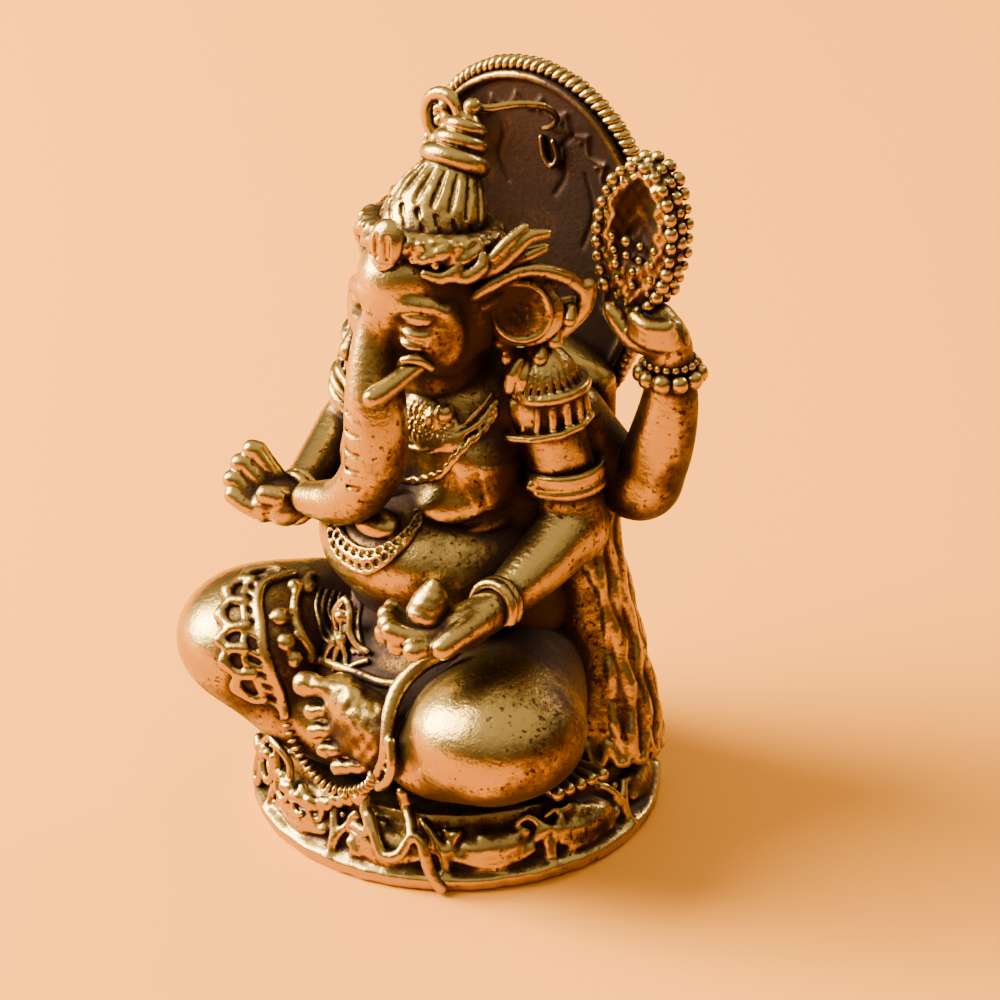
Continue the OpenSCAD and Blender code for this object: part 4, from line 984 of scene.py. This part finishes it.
def sculptRibbon():
    clay = Clay([0, -13.6, 0.2], [9.6, -7.8, 7.6], ground=True, step=0.1)
    k = baseH - 4.7
    for line in ([[1.6, -11.4, 5.8], [2, -11.9, 4.8], [2.6, -12.2, 4.2], [2.4, -12.4, 3.6],
                  [1.5, -12.3, 3.7]],
                 [[2.4, -12, 4.6], [3.1, -12.4, 3.8], [3.6, -12.6, 3.1], [4, -12.7, 2.7],
                  [4.6, -12.6, 2.7], [5.1, -12.3, 3], [5.3, -11.9, 3.6], [5.6, -11.6, 4.1],
                  [6.1, -11.5, 3.9], [6.5, -11.6, 3.1], [6.8, -11.6, 2.2], [7.2, -11.5, 1.4],
                  [7.5, -11.2, 0.8]],
                 [[5.5, -11.6, 4.1], [4.9, -11, 4.8], [4.2, -10.6, 5.4], [4.1, -10.8, 6.4]]):
        clay.limb([[p[0], p[1], p[2] + k, 0.38] for p in line], blend=0.15)
    finishClay(clay, "front_ribbon")


def sculptPetalTips():
    clay = Clay([-baseR, -baseR, 0.6], [baseR, baseR, baseH], ground=True, step=0.12)
    n = plinth["petals"]
    for i in range(n * 2):                           # flecks and pods between the petals
        a = 180 * (i + 0.5) / n - 90
        clay.limb([onPlinth(a - 2.6, baseR - 1.5, 2.9, 0.2), onPlinth(a, baseR - 1.1, 2.3, 0.34),
                   onPlinth(a + 2.6, baseR - 1.5, 2.9, 0.2)], blend=0.1)
        clay.balls([onPlinth(a + 8, baseR - 1.7, 3.3, 0.3)])
    finishClay(clay, "lotus_petals")


# ---- back plate, goad and noose ----

plate = {"halfW": 8.8, "rise": 9.4, "drop": 14.4, "y": 8.6, "z": 39, "t": 1.4}


def platePoint(angle, inset=0.0, y=None):
    a = math.radians(angle)
    tall = plate["rise"] if math.sin(a) > 0 else plate["drop"]
    return [(plate["halfW"] - inset) * math.cos(a), plate["y"] if y is None else y,
            plate["z"] + (tall - inset) * math.sin(a)]


def sculptPlate():
    clay = Clay([-9.6, 7.4, 24.4], [9.6, 9.8, 49.6])
    spot, x, y, z = clay.whole()
    up = z - (plate["z"] + seatRise)
    tall = np.where(up > 0, plate["rise"], plate["drop"]) - 0.5
    wide = plate["halfW"] - 0.5
    k = np.sqrt((x / wide) ** 2 + (up / tall) ** 2)
    d = (k - 1) * np.minimum(wide, tall) * 0.9
    flat = np.abs(y - plate["y"]) - plate["t"] / 2
    clay.merge(spot, np.maximum(np.maximum(d, flat + 0 * z), -(up + 13)), 0.05, False)
    front = plate["y"] - plate["t"] / 2
    clay.limb([platePoint(a, 0.55, front) + [0.3] for a in range(-40, 221, 8)], blend=0.15)
    for a in range(-28, 208, 16):                    # scalloped inner edge with leaf points
        pts = [platePoint(a + t * 16, 1.75 + 0.85 * math.sin(math.pi * t), front) + [0.15]
               for t in (0, 0.25, 0.5, 0.75, 1)]
        clay.limb(pts, blend=0.1)
        clay.limb([platePoint(a, 1.75, front) + [0.17], platePoint(a + 1, 2.6, front) + [0.12]],
                  blend=0.1)
    for s in (-1, 1):                                # engraved tendrils
        clay.groove([[1.8 * s, front, 40.5, 0.1], [2.6 * s, front, 42, 0.1],
                     [2.2 * s, front, 43.6, 0.1], [3.2 * s, front, 44.8, 0.1]])
        clay.groove([[4 * s, front, 37.5, 0.1], [4.8 * s, front, 40, 0.1],
                     [4.2 * s, front, 42.4, 0.1]])
    finishClay(clay, "arch_panel")


def sculptGoad():
    clay = Clay([-9.2, 5, 37.4], [-3.6, 8.2, 47], step=0.1)
    c = [-5.9, 6.5, 44.2]
    ring = []
    for i in range(20):
        a = math.radians(-80 + 17 * i)
        ring.append([c[0] + 1.35 * math.cos(a), c[1], c[2] + 1.6 * math.sin(a), 0.42])
    clay.limb(ring, blend=0.12)
    clay.limb([[-7.6, 6.1, 38.2, 0.5], [-6.3, 6.4, 42.5, 0.5]], blend=0.15)
    for x, z in ((-0.35, 0.5), (0.3, 0.1), (-0.3, -0.3), (0.25, -0.6), (0.1, 0.8)):
        clay.balls([[c[0] + x, c[1] - 0.1, c[2] + z, 0.34]], blend=0.1)
    clay.limb([[c[0], c[1] + 0.3, c[2] - 1, 0.5], [c[0], c[1] + 0.3, c[2] + 0.9, 0.5]], blend=0.2)
    finishClay(clay, "goad_head")


noose = {"centre": [11, 4.6, 41.5], "half": (2.85, 5.1), "depth": 2.9, "lean": 6}


def onNoose(u, v, out):
    a = math.radians(noose["lean"])
    c = noose["centre"]
    return [c[0] + u * math.cos(a) + v * math.sin(a), c[1] - out,
            c[2] - u * math.sin(a) + v * math.cos(a)]


def sculptNoose():
    clay = Clay([7, 1.8, 35.4], [15.4, 7.4, 47.6])
    w, h = noose["half"]
    depth = noose["depth"]
    spot, x, y, z = clay.whole()
    a = math.radians(noose["lean"])
    dx, dz = x - noose["centre"][0], z - noose["centre"][2] - seatRise
    u, v = dx * math.cos(a) - dz * math.sin(a), dx * math.sin(a) + dz * math.cos(a)
    k = np.sqrt((u / (w - 0.1)) ** 2 + (v / (h - 0.1)) ** 2)
    d = (k - 1) * w * 0.9
    flat = np.abs(y - noose["centre"][1]) - depth / 2 + 0.35
    h2 = np.maximum(0.9 - np.abs(d - flat), 0) / 0.9
    clay.merge(spot, np.maximum(d, flat) + h2 * h2 * 0.9 / 4, 0.05, False)
    clay.egg(onNoose(-0.2, 1, depth / 2 + 0.2), [1.7, 1.6, 3.2], turn=(0, noose["lean"], 0),
             blend=0.35, cut=True)
    clay.uneven(0.12, 1.1)
    finishClay(clay, "noose")


sculptHems()
sculptTassel()
sculptGarland()
sculptNecklaces()
sculptEpaulets()
sculptArmlets()
sculptBangles()
sculptEarrings()
sculptDome()
sculptCrownBand()
sculptCrownJewel()
sculptCrownRings()
sculptFinial()
sculptScrolls()
sculptCrownRibbon()
sculptFringe()
sculptRibbon()
sculptPetalTips()
sculptPlate()
sculptGoad()
sculptNoose()


# ---- materials ----

def hexColour(code):
    channels = [int(code[i:i + 2], 16) / 255 for i in (1, 3, 5)]
    return [c / 12.92 if c <= 0.04045 else ((c + 0.055) / 1.055) ** 2.4 for c in channels] + [1]


def addNode(tree, kind, settings=(), inputs=()):
    node = tree.nodes.new(kind)
    for key, value in dict(settings).items():
        setattr(node, key, value)
    for key, value in dict(inputs).items():
        if isinstance(value, bpy.types.NodeSocket):
            tree.links.new(value, node.inputs[key])
        else:
            node.inputs[key].default_value = value
    return node


# Antiqued cast brass (about 70 Cu 30 Zn): lost-wax cast, blackened all over with a liver-of-sulphur
# patina, then rubbed back, so that the high spots shine and brown stays in every hollow and pit.
brassLook = {
    "dark": "#28170c", "brown": "#46301b", "brass": "#6c5730", "bright": "#b09757",
    "grainMm": 0.16, "pitMm": 0.42, "holeMm": 0.36, "cloudMm": 2.6,
    "smooth": 0.28, "rough": 0.6, "oxideMetal": 0.7, "bumpMm": 0.07,
    # how strongly each thing changes the wear and the painted light and shade, and what it adds where
    # that thing is nil
    "edge": (-3.4, 2.2), "cavity": (-2.6, 1.0), "shelter_and_shade": (-1.5, 0.3), "paintedSideLight": (0.75, -0.2),
    "mottle": 1.5, "dust": 0.7, "holeDepth": 0.55,
}


def makeBrass(name, paintedShade, grain):
    look = brassLook
    material = bpy.data.materials.new(name)
    material.use_nodes = True
    tree = material.node_tree
    tree.nodes.clear()

    def mathNode(operation, *values, clamp=False):
        return addNode(tree, "ShaderNodeMath", {"operation": operation, "use_clamp": clamp},
                       enumerate(values)).outputs[0]

    def weighed(key, offset=0.0):
        amount, rest = look[key]
        value = addNode(tree, "ShaderNodeAttribute", {"attribute_name": key}).outputs["Fac"]
        return mathNode("MULTIPLY_ADD", value, amount, rest - offset)

    def centred(pattern, amount):
        return mathNode("MULTIPLY_ADD", pattern, amount, -amount / 2)

    place = addNode(tree, "ShaderNodeTexCoord").outputs["Object"]

    def noise(sizeMm, detail):
        return addNode(tree, "ShaderNodeTexNoise", inputs={
            "Vector": place, "Scale": 1000 / sizeMm, "Detail": detail}).outputs["Fac"]

    cloud, pit, fine = noise(look["cloudMm"], 3), noise(look["pitMm"], 2), noise(look["grainMm"], 1)
    # wear and painted light: 0 in hollows and in painted shade, 1 on rubbed edges and on the sides
    # painted as lit from the front-left
    wearAndShading = mathNode("ADD", mathNode("ADD", weighed("edge", paintedShade), weighed("cavity")),
                    mathNode("ADD", weighed("shelter_and_shade"), weighed("paintedSideLight")))
    speckle = mathNode("ADD", centred(pit, grain), centred(fine, grain * look["dust"]))
    wearAndShading = mathNode("ADD", wearAndShading, mathNode("ADD", centred(cloud, look["mottle"]), speckle))
    # casting pits: sparse dark dots
    hole = addNode(tree, "ShaderNodeMapRange", inputs={
        "Value": noise(look["holeMm"], 1), "From Min": 0.6, "From Max": 0.72}).outputs[0]
    wearAndShading = mathNode("SUBTRACT", wearAndShading, mathNode("MULTIPLY", hole, look["holeDepth"]), clamp=True)
    ramp = addNode(tree, "ShaderNodeValToRGB", inputs={"Fac": wearAndShading})
    stops = ramp.color_ramp.elements
    stops[0].position, stops[0].color = 0.06, hexColour(look["dark"])
    stops[1].position, stops[1].color = 0.92, hexColour(look["bright"])
    for position, key in ((0.3, "brown"), (0.6, "brass")):
        stops.new(position).color = hexColour(look[key])
    roughness = addNode(tree, "ShaderNodeMapRange", inputs={
        "Value": wearAndShading, "From Min": 0.1, "From Max": 0.85, "To Min": look["rough"],
        "To Max": look["smooth"]}).outputs[0]
    # metallic follows the same mix, so the painted shade turns less metallic along with the patina
    metal = addNode(tree, "ShaderNodeMapRange", inputs={       # the dark patina is an oxide
        "Value": wearAndShading, "From Min": 0.1, "From Max": 0.5, "To Min": look["oxideMetal"],
        "To Max": 1.0}).outputs[0]
    bump = addNode(tree, "ShaderNodeBump", inputs={
        "Strength": 0.5, "Distance": look["bumpMm"] / 1000,
        "Height": mathNode("ADD", pit, mathNode("MULTIPLY", fine, 0.5))})
    shader = addNode(tree, "ShaderNodeBsdfPrincipled", inputs={
        "Base Color": ramp.outputs["Color"], "Metallic": metal, "Roughness": roughness,
        "Normal": bump.outputs["Normal"]})
    addNode(tree, "ShaderNodeOutputMaterial", inputs={"Surface": shader.outputs[0]})
    return material


# ---- what repeats: grown along paths with geometry nodes ----

def makeBeadTree():
    tree = bpy.data.node_groups.new("beadsAlongPath", "GeometryNodeTree")
    sockets = {}
    for name, kind in (("Geometry", "NodeSocketGeometry"), ("Bead radius", "NodeSocketFloat"),
                       ("Spacing", "NodeSocketFloat"), ("Along", "NodeSocketFloat"),
                       ("Across", "NodeSocketFloat"), ("Twist", "NodeSocketFloat"),
                       ("Jitter", "NodeSocketFloat"), ("Seed", "NodeSocketInt"),
                       ("Material", "NodeSocketMaterial")):
        sockets[name] = tree.interface.new_socket(name, in_out="INPUT", socket_type=kind).identifier
    tree.interface.new_socket("Geometry", in_out="OUTPUT", socket_type="NodeSocketGeometry")
    given = tree.nodes.new("NodeGroupInput").outputs
    curve = addNode(tree, "GeometryNodeMeshToCurve", inputs={"Mesh": given["Geometry"]})
    evenly = addNode(tree, "GeometryNodeResampleCurve", {"mode": "LENGTH"}, {
        "Curve": curve.outputs[0], "Length": given["Spacing"]})
    bead = addNode(tree, "GeometryNodeMeshUVSphere", inputs={
        "Segments": 10, "Rings": 7, "Radius": given["Bead radius"]})
    tangent = addNode(tree, "GeometryNodeInputTangent")
    aim = addNode(tree, "FunctionNodeAlignRotationToVector", {"axis": "X"}, {
        "Vector": tangent.outputs[0]})
    turn = addNode(tree, "FunctionNodeAxisAngleToRotation", inputs={
        "Axis": (0, 1, 0), "Angle": given["Twist"]})
    turned = addNode(tree, "FunctionNodeRotateRotation", {"rotation_space": "LOCAL"}, {
        "Rotation": aim.outputs[0], "Rotate By": turn.outputs[0]})
    shape = addNode(tree, "ShaderNodeCombineXYZ", inputs={
        "X": given["Along"], "Y": given["Across"], "Z": given["Across"]})
    small = addNode(tree, "ShaderNodeMath", {"operation": "SUBTRACT"}, {0: 1.0, 1: given["Jitter"]})
    large = addNode(tree, "ShaderNodeMath", {"operation": "ADD"}, {0: 1.0, 1: given["Jitter"]})
    chance = addNode(tree, "FunctionNodeRandomValue", {"data_type": "FLOAT"})
    tree.links.new(small.outputs[0], chance.inputs[2])
    tree.links.new(large.outputs[0], chance.inputs[3])
    tree.links.new(given["Seed"], chance.inputs["Seed"])
    scale = addNode(tree, "ShaderNodeVectorMath", {"operation": "SCALE"}, {
        "Vector": shape.outputs[0], "Scale": chance.outputs[1]})
    placed = addNode(tree, "GeometryNodeInstanceOnPoints", inputs={
        "Points": evenly.outputs[0], "Instance": bead.outputs["Mesh"],
        "Rotation": turned.outputs[0], "Scale": scale.outputs[0]})
    real = addNode(tree, "GeometryNodeRealizeInstances", inputs={"Geometry": placed.outputs[0]})
    smooth = addNode(tree, "GeometryNodeSetShadeSmooth", inputs={"Geometry": real.outputs[0]})
    painted = addNode(tree, "GeometryNodeSetMaterial", inputs={
        "Geometry": smooth.outputs[0], "Material": given["Material"]})
    addNode(tree, "NodeGroupOutput", inputs={"Geometry": painted.outputs[0]})
    return tree, sockets


beadTree, beadSockets = makeBeadTree()


def growBeads(name, lines, radius, spacing, along=1.0, across=1.0, twist=0.0, jitter=0.08, seed=1):
    verts, edges = [], []
    for line in lines:
        first = len(verts)
        verts += [(p[0] / 1000, p[1] / 1000, (p[2] + seatRise) / 1000) for p in line]
        edges += [(i, i + 1) for i in range(first, len(verts) - 1)]
    pathMesh = bpy.data.meshes.new(name + "_path")
    pathMesh.from_pydata(verts, edges, [])
    holder = bpy.data.objects.new(name + "_path", pathMesh)
    bpy.context.scene.collection.objects.link(holder)
    grow = holder.modifiers.new("beads", "NODES")
    grow.node_group = beadTree
    for key, value in (("Bead radius", radius / 1000), ("Spacing", spacing / 1000),
                       ("Along", along), ("Across", across), ("Twist", math.radians(twist)),
                       ("Jitter", jitter), ("Seed", seed), ("Material", castBrass)):
        grow[beadSockets[key]] = value
    bpy.context.view_layer.update()
    mesh = bpy.data.meshes.new_from_object(
        holder.evaluated_get(bpy.context.evaluated_depsgraph_get()))
    bpy.data.objects.remove(holder)
    mesh.name = name
    meshes[name] = mesh
    addMeshToFigure(mesh)
    note(f"grew {name}: {len(mesh.polygons)} faces")


def addMeshToFigure(mesh):
    co = np.empty(len(mesh.vertices) * 3, np.float32)
    mesh.vertices.foreach_get("co", co)
    mesh.calc_loop_triangles()
    tri = np.empty(len(mesh.loop_triangles) * 3, np.int32)
    mesh.loop_triangles.foreach_get("vertices", tri)
    grid = openvdb.FloatGrid.createLevelSetFromPolygons(
        co.reshape(-1, 3) * 1000, triangles=tri.reshape(-1, 3).astype(np.uint32),
        transform=openvdb.createLinearTransform(figureVoxel), halfWidth=3.0)
    shell = np.empty(figure.shape, np.float32)
    grid.copyToArray(shell, ijk=tuple(int(round(v / figureVoxel)) for v in figureLow))
    np.minimum(figure, shell, out=figure)


castBrass = makeBrass("CastBrassRubbed", 0.0, 0.5)


def ellipseRow(w, h, out, first=0, last=360, step=6):
    return [onNoose(w * math.cos(math.radians(a)), h * math.sin(math.radians(a)), out)
            for a in np.arange(first, last + 0.1, step)]


nooseW, nooseH = noose["half"]
rows = [ellipseRow(nooseW - 0.12, nooseH - 0.15, 1, -70, 235)]
rows += [ellipseRow(nooseW - 0.05, nooseH - 0.1, out, -70, 115) for out in (-0.75, 0.1)]
growBeads("noose_beads", rows, 0.36, 0.9, along=1.15, jitter=0.2, seed=3)
growBeads("noose_dots", [[onNoose(-1.6 + 0.3 * r, -0.4 - 0.8 * r, 0.95 + 0.1 * r),
                          onNoose(1.6, -0.2 - 0.95 * r, 0.95 + 0.1 * r)] for r in range(4)],
          0.26, 0.95, jitter=0.4, seed=5)


def circle(c, r, tilt=0.0, step=6):
    return [[c[0] + r * math.cos(math.radians(a)), c[1] + r * math.sin(math.radians(a)),
             c[2] + tilt * r * math.cos(math.radians(a))] for a in range(0, 361, step)]


growBeads("rear_bracelets", [circle([13, 4.9, 32.6], 1.75), circle([-8.1, 5.9, 34.8], 1.55)],
          0.62, 1.02, jitter=0.1, seed=2)
growBeads("rear_cuff_beads", [circle([13, 4.9, 33.45], 1.5)], 0.3, 0.55, jitter=0.1, seed=4)
growBeads("arch_rim", [[platePoint(a) for a in np.arange(-52, 232.1, 3)]],
          0.55, 0.56, along=0.72, across=1.1, twist=32, jitter=0.06, seed=6)
ribHem = [[-5.2, -11, 8.9], [-4.2, -11.3, 7.4], [-3, -11.4, 6.1], [-1.6, -11.6, 5.6],
          [-0.2, -11.7, 5.6], [1.2, -11.8, 6.2], [2.4, -12, 7.2], [3, -12.2, 8.2]]
growBeads("foot_hem_ribs", [[list(p) for p in smoothPath(ribHem, 0.3)]],
          0.42, 0.5, along=0.42, across=1.0, twist=8, jitter=0.06, seed=7)


# ---- patina and painted shade: how sheltered each vertex is, from the whole figure's solid parts ----

def boxBlur(field, reach):
    out = field
    for axis in range(3):
        padded = np.pad(out, [(reach + 1, reach) if i == axis else (0, 0) for i in range(3)],
                        mode="edge")
        total = np.cumsum(padded, axis=axis, dtype=np.float64)
        width = 2 * reach + 1
        hi = np.take(total, range(width, padded.shape[axis]), axis=axis)
        lo = np.take(total, range(0, padded.shape[axis] - width), axis=axis)
        out = ((hi - lo) / width).astype(np.float32)
    return out


patinaAndShadeReach = {"edge": 2, "cavity": 5, "shelter_and_shade": 14}     # in voxels of the figure's grid
# (centre, radius) in mm, then how much painted shade (or, where negative, painted highlight) is added
# there
paintedLightSpots = {
    "ear front": ((6.1, -1.2, 37), 2, 0.3), "noose hollow": ((11, 3, 42.6), 2.6, 0.4),
    "cheek": ((5.4, -3, 34.4), 2.2, 0.1), "behind the jaw": ((6.5, -0.6, 33), 1.8, 0.2),
    "chest side": ((6, -3, 27), 2.6, 0.2), "stand side": ((11, -2.6, 6), 2.4, 0.6),
    "hip": ((12, 1, 12), 4, 0.3), "right wrist": ((-9.4, -8, 22.4), 1.6, 0.25),
    "sole": ((1, -12, 10.6), 2.1, 0.7), "knee dent": ((10.6, -12.4, 14.1), 1.3, 0.3),
    "thigh top": ((9, -3.5, 15.5), 3, 0.45), "lap": ((0, -9, 15), 2, 0.3),
    "plate top": ((2, 6.8, 46), 2.5, 0.6), "noose foot": ((11, 2.6, 40.5), 2.2, 0.5),
    "armpit": ((6, 3, 24), 2.5, 0.4), "pendant": ((1.4, -5, 29.4), 2.8, -0.9),
    "garland": ((-0.5, -8.2, 21.4), 2.6, -0.4), "breast": ((3.2, -5.4, 24.6), 1.8, -0.2),
    "eye": ((2.3, -6.9, 36.6), 1.5, -0.45), "forehead": ((0, -6.8, 39.4), 2.2, -0.3),
    "dome": ((0, -3, 42.5), 4, -0.4), "trunk top": ((-1, -9.6, 31), 3, -0.2),
    "under the knee": ((8.4, -10.2, 6.8), 2.6, 0.8), "under the belly": ((0, -8, 17.6), 3.4, 0.12),
    "ear drops": ((6.3, -1.8, 32.8), 1.3, -0.8), "ear edge": ((7.7, 0.3, 35.3), 1.6, -0.6),
    "upper arm": ((8.4, 0.4, 27), 2.6, -0.4), "elbow": ((10.8, -2, 21.4), 3, -0.4),
    "drape side": ((13, 6, 14), 5, -0.2), "trunk bend": ((-0.6, -9.4, 27), 2.2, 0.15),
    "sweet": ((5.9, -10, 20.6), 1.2, 0.4),
}
# painted light: surfaces facing this direction are painted lighter, surfaces facing away painted
# darker
paintedLightFrom = (-0.62, -0.6, 0.45)
undersideShade = 0.85      # painted shade: how much darker the undersides are made


def readMesh(mesh, key):
    values = np.empty(len(mesh.vertices) * 3, np.float32)
    mesh.vertices.foreach_get(key, values)
    return values.reshape(-1, 3)


def addPatinaAndShade():
    solid = np.clip(0.5 - figure / figureVoxel, 0, 1)
    blurred = {name: boxBlur(boxBlur(solid, reach), reach) for name, reach in patinaAndShadeReach.items()}
    for mesh in meshes.values():
        co, normal = readMesh(mesh, "co") * 1000, readMesh(mesh, "normal")
        # cavity is the patina left in hollows; the shelter value, blurred over about 2 mm, is partly
        # patina and partly painted shade between parts
        for key, offset in (("edge", 0.08), ("cavity", 0.25), ("shelter_and_shade", 0.9)):
            value = sample(blurred[key], co + normal * offset).astype(np.float32)
            if key == "shelter_and_shade":
                # painted shade and painted highlights at the listed spots, added to the shelter value
                for centre, r, amount in paintedLightSpots.values():
                    far = ((co - np.add(centre, (0, 0, seatRise))) ** 2).sum(1) / r ** 2
                    value += (amount * np.exp(-far)).astype(np.float32)
            mesh.attributes.new(key, "FLOAT", "POINT").data.foreach_set("value", value)
        # painted light and shade: lighter on the sides facing the lamps, darker on the far sides and
        # on the undersides
        facing = normal @ np.array(paintedLightFrom) / np.linalg.norm(paintedLightFrom)
        facing -= undersideShade * np.clip(-normal[:, 2], 0, 1)
        mesh.attributes.new("paintedSideLight", "FLOAT", "POINT").data.foreach_set(
            "value", facing.astype(np.float32))
    note("patina read")


# ---- meshes from the sculpts ----

standsFor = {"head_and_trunk": ("head", "trunk")}


def meshFrom(name, points, polygons):
    mesh = bpy.data.meshes.new(name)
    points, polygons = np.asarray(points, np.float64) * 0.001, np.asarray(polygons)
    mesh.vertices.add(len(points))
    mesh.vertices.foreach_set("co", points.astype(np.float32).ravel())
    sides = polygons.shape[1]
    mesh.loops.add(polygons.size)
    mesh.loops.foreach_set("vertex_index", polygons.astype(np.int32).ravel())
    mesh.polygons.add(len(polygons))
    mesh.polygons.foreach_set("loop_start", np.arange(0, polygons.size, sides, dtype=np.int32))
    mesh.update(calc_edges=True)
    mesh.validate()
    mesh.shade_smooth()
    return mesh


for name, (points, polygons) in pieces.items():
    meshes[name] = meshFrom(name, points, polygons)
addPatinaAndShade()

# painted shade (positive) or painted light (negative) added to the brass as an offset, its grain, and
# the pieces made of each shaded or lit copy
brassKinds = {
    "CastBrassShaded": (0.35, 0.6, ("waist_cloth",)),
    "CastBrassHalfShaded": (0.25, 0.6, ("belly", "chest", "head_and_trunk", "left_ear", "right_ear",
                                     "rear_right_arm")),
    "CastBrassDeepShaded": (1.3, 0.4, ("arch_panel", "crown_ribbon")),
    "CastBrassLit": (-0.3, 0.7, ("back_drape", "base_plinth", "lotus_petals")),
}
brassOf = {}
for kind, (paintedShade, grain, members) in brassKinds.items():
    material = makeBrass(kind, paintedShade, grain)
    brassOf.update((member, material) for member in members)
extraPieces = {"noose_beads": "noose", "noose_dots": "noose", "rear_cuff_beads": "rear_bracelets",
               "foot_hem_ribs": "base_fringe"}

for name, mesh in meshes.items():
    piece = bpy.data.objects.new(name + "_cast", mesh)
    bpy.context.scene.collection.objects.link(piece)
    mesh.materials.clear()
    mesh.materials.append(brassOf.get(name, castBrass))
    nodes = (extraPieces[name],) if name in extraPieces else standsFor.get(name, (name,))
    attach(piece, "root")
    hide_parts(*nodes)
note(f"{len(meshes)} pieces placed")

# ---- floor, light and camera ----

stageLook = {"floor": "#fbaa36", "floorSize": 2.4, "floorDrop": 0.00002}


def makeStage():
    half, z = stageLook["floorSize"] / 2, -stageLook["floorDrop"]
    mesh = bpy.data.meshes.new("floor")
    mesh.from_pydata([(-half, -half, z), (half, -half, z), (half, half, z), (-half, half, z)],
                     [], [(0, 1, 2, 3)])
    floor = bpy.data.objects.new("floor", mesh)
    bpy.context.scene.collection.objects.link(floor)
    material = bpy.data.materials.new("PeachPaper")       # matt coloured background paper
    material.use_nodes = True
    shader = material.node_tree.nodes["Principled BSDF"]
    shader.inputs["Base Color"].default_value = hexColour(stageLook["floor"])
    shader.inputs["Roughness"].default_value = 0.9
    shader.inputs["Specular IOR Level"].default_value = 0.1
    mesh.materials.append(material)


# towards the light, size in metres, watts, colour
lamps = {
    "softbox": ((-0.62, -0.42, 0.66), 0.36, 8.8, "#ffebca"),
    "window": ((-0.86, -0.38, 0.34), 0.26, 8.5, "#ffeacc"),
    "back_strip": ((0.2, 0.9, 0.5), 0.08, 0.8, "#ffe6c4"),
}
lampReach = 0.5
lampTarget = Vector((0, 0, 0.02))


def addAreaLight(name, towards, size, power, colour):
    light = bpy.data.lights.new(name, "AREA")
    light.shape = "DISK"
    light.size, light.energy, light.color = size, power, hexColour(colour)[:3]
    lamp = bpy.data.objects.new(name, light)
    away = Vector(towards).normalized()
    lamp.location = lampTarget + away * lampReach
    lamp.rotation_euler = away.to_track_quat("Z", "Y").to_euler()
    bpy.context.scene.collection.objects.link(lamp)


shot = {"turn": 37.5, "rise": 28, "reach": 0.3, "lens": 164.8,
        "target": (-0.00306, 0.00862, 0.01637)}


def addCamera():
    turn, rise, reach = math.radians(shot["turn"]), math.radians(shot["rise"]), shot["reach"]
    back = Vector((math.sin(turn) * math.cos(rise), -math.cos(turn) * math.cos(rise),
                   math.sin(rise)))
    right = Vector((math.cos(turn), math.sin(turn), 0))
    up = back.cross(right)
    place = Vector(shot["target"]) + back * reach
    camera = bpy.data.objects.new("camera", bpy.data.cameras.new("camera"))
    camera.data.lens, camera.data.sensor_width = shot["lens"], 36
    camera.data.clip_start, camera.data.clip_end = 0.01, 10
    camera.matrix_world = Matrix((
        (right.x, up.x, back.x, place.x), (right.y, up.y, back.y, place.y),
        (right.z, up.z, back.z, place.z), (0, 0, 0, 1)))
    bpy.context.scene.collection.objects.link(camera)
    bpy.context.scene.camera = camera


roomLook = {"walls": "#4a3c2e", "ceiling": "#ffe4bc", "strength": 1.25}   # dark walls, white ceiling


def makeWorld():
    world = bpy.data.worlds.new("studio")
    bpy.context.scene.world = world
    world.use_nodes = True
    tree = world.node_tree
    towards = addNode(tree, "ShaderNodeSeparateXYZ", inputs={
        "Vector": addNode(tree, "ShaderNodeTexCoord").outputs["Generated"]}).outputs["Z"]
    ramp = addNode(tree, "ShaderNodeValToRGB", inputs={"Fac": towards})
    stops = ramp.color_ramp.elements
    stops[0].position, stops[0].color = 0.3, hexColour(roomLook["walls"])
    stops[1].position, stops[1].color = 0.85, hexColour(roomLook["ceiling"])
    sky = tree.nodes["Background"]
    tree.links.new(ramp.outputs["Color"], sky.inputs["Color"])
    sky.inputs["Strength"].default_value = roomLook["strength"]


makeStage()
for name, settings in lamps.items():
    addAreaLight(name, *settings)
addCamera()
makeWorld()
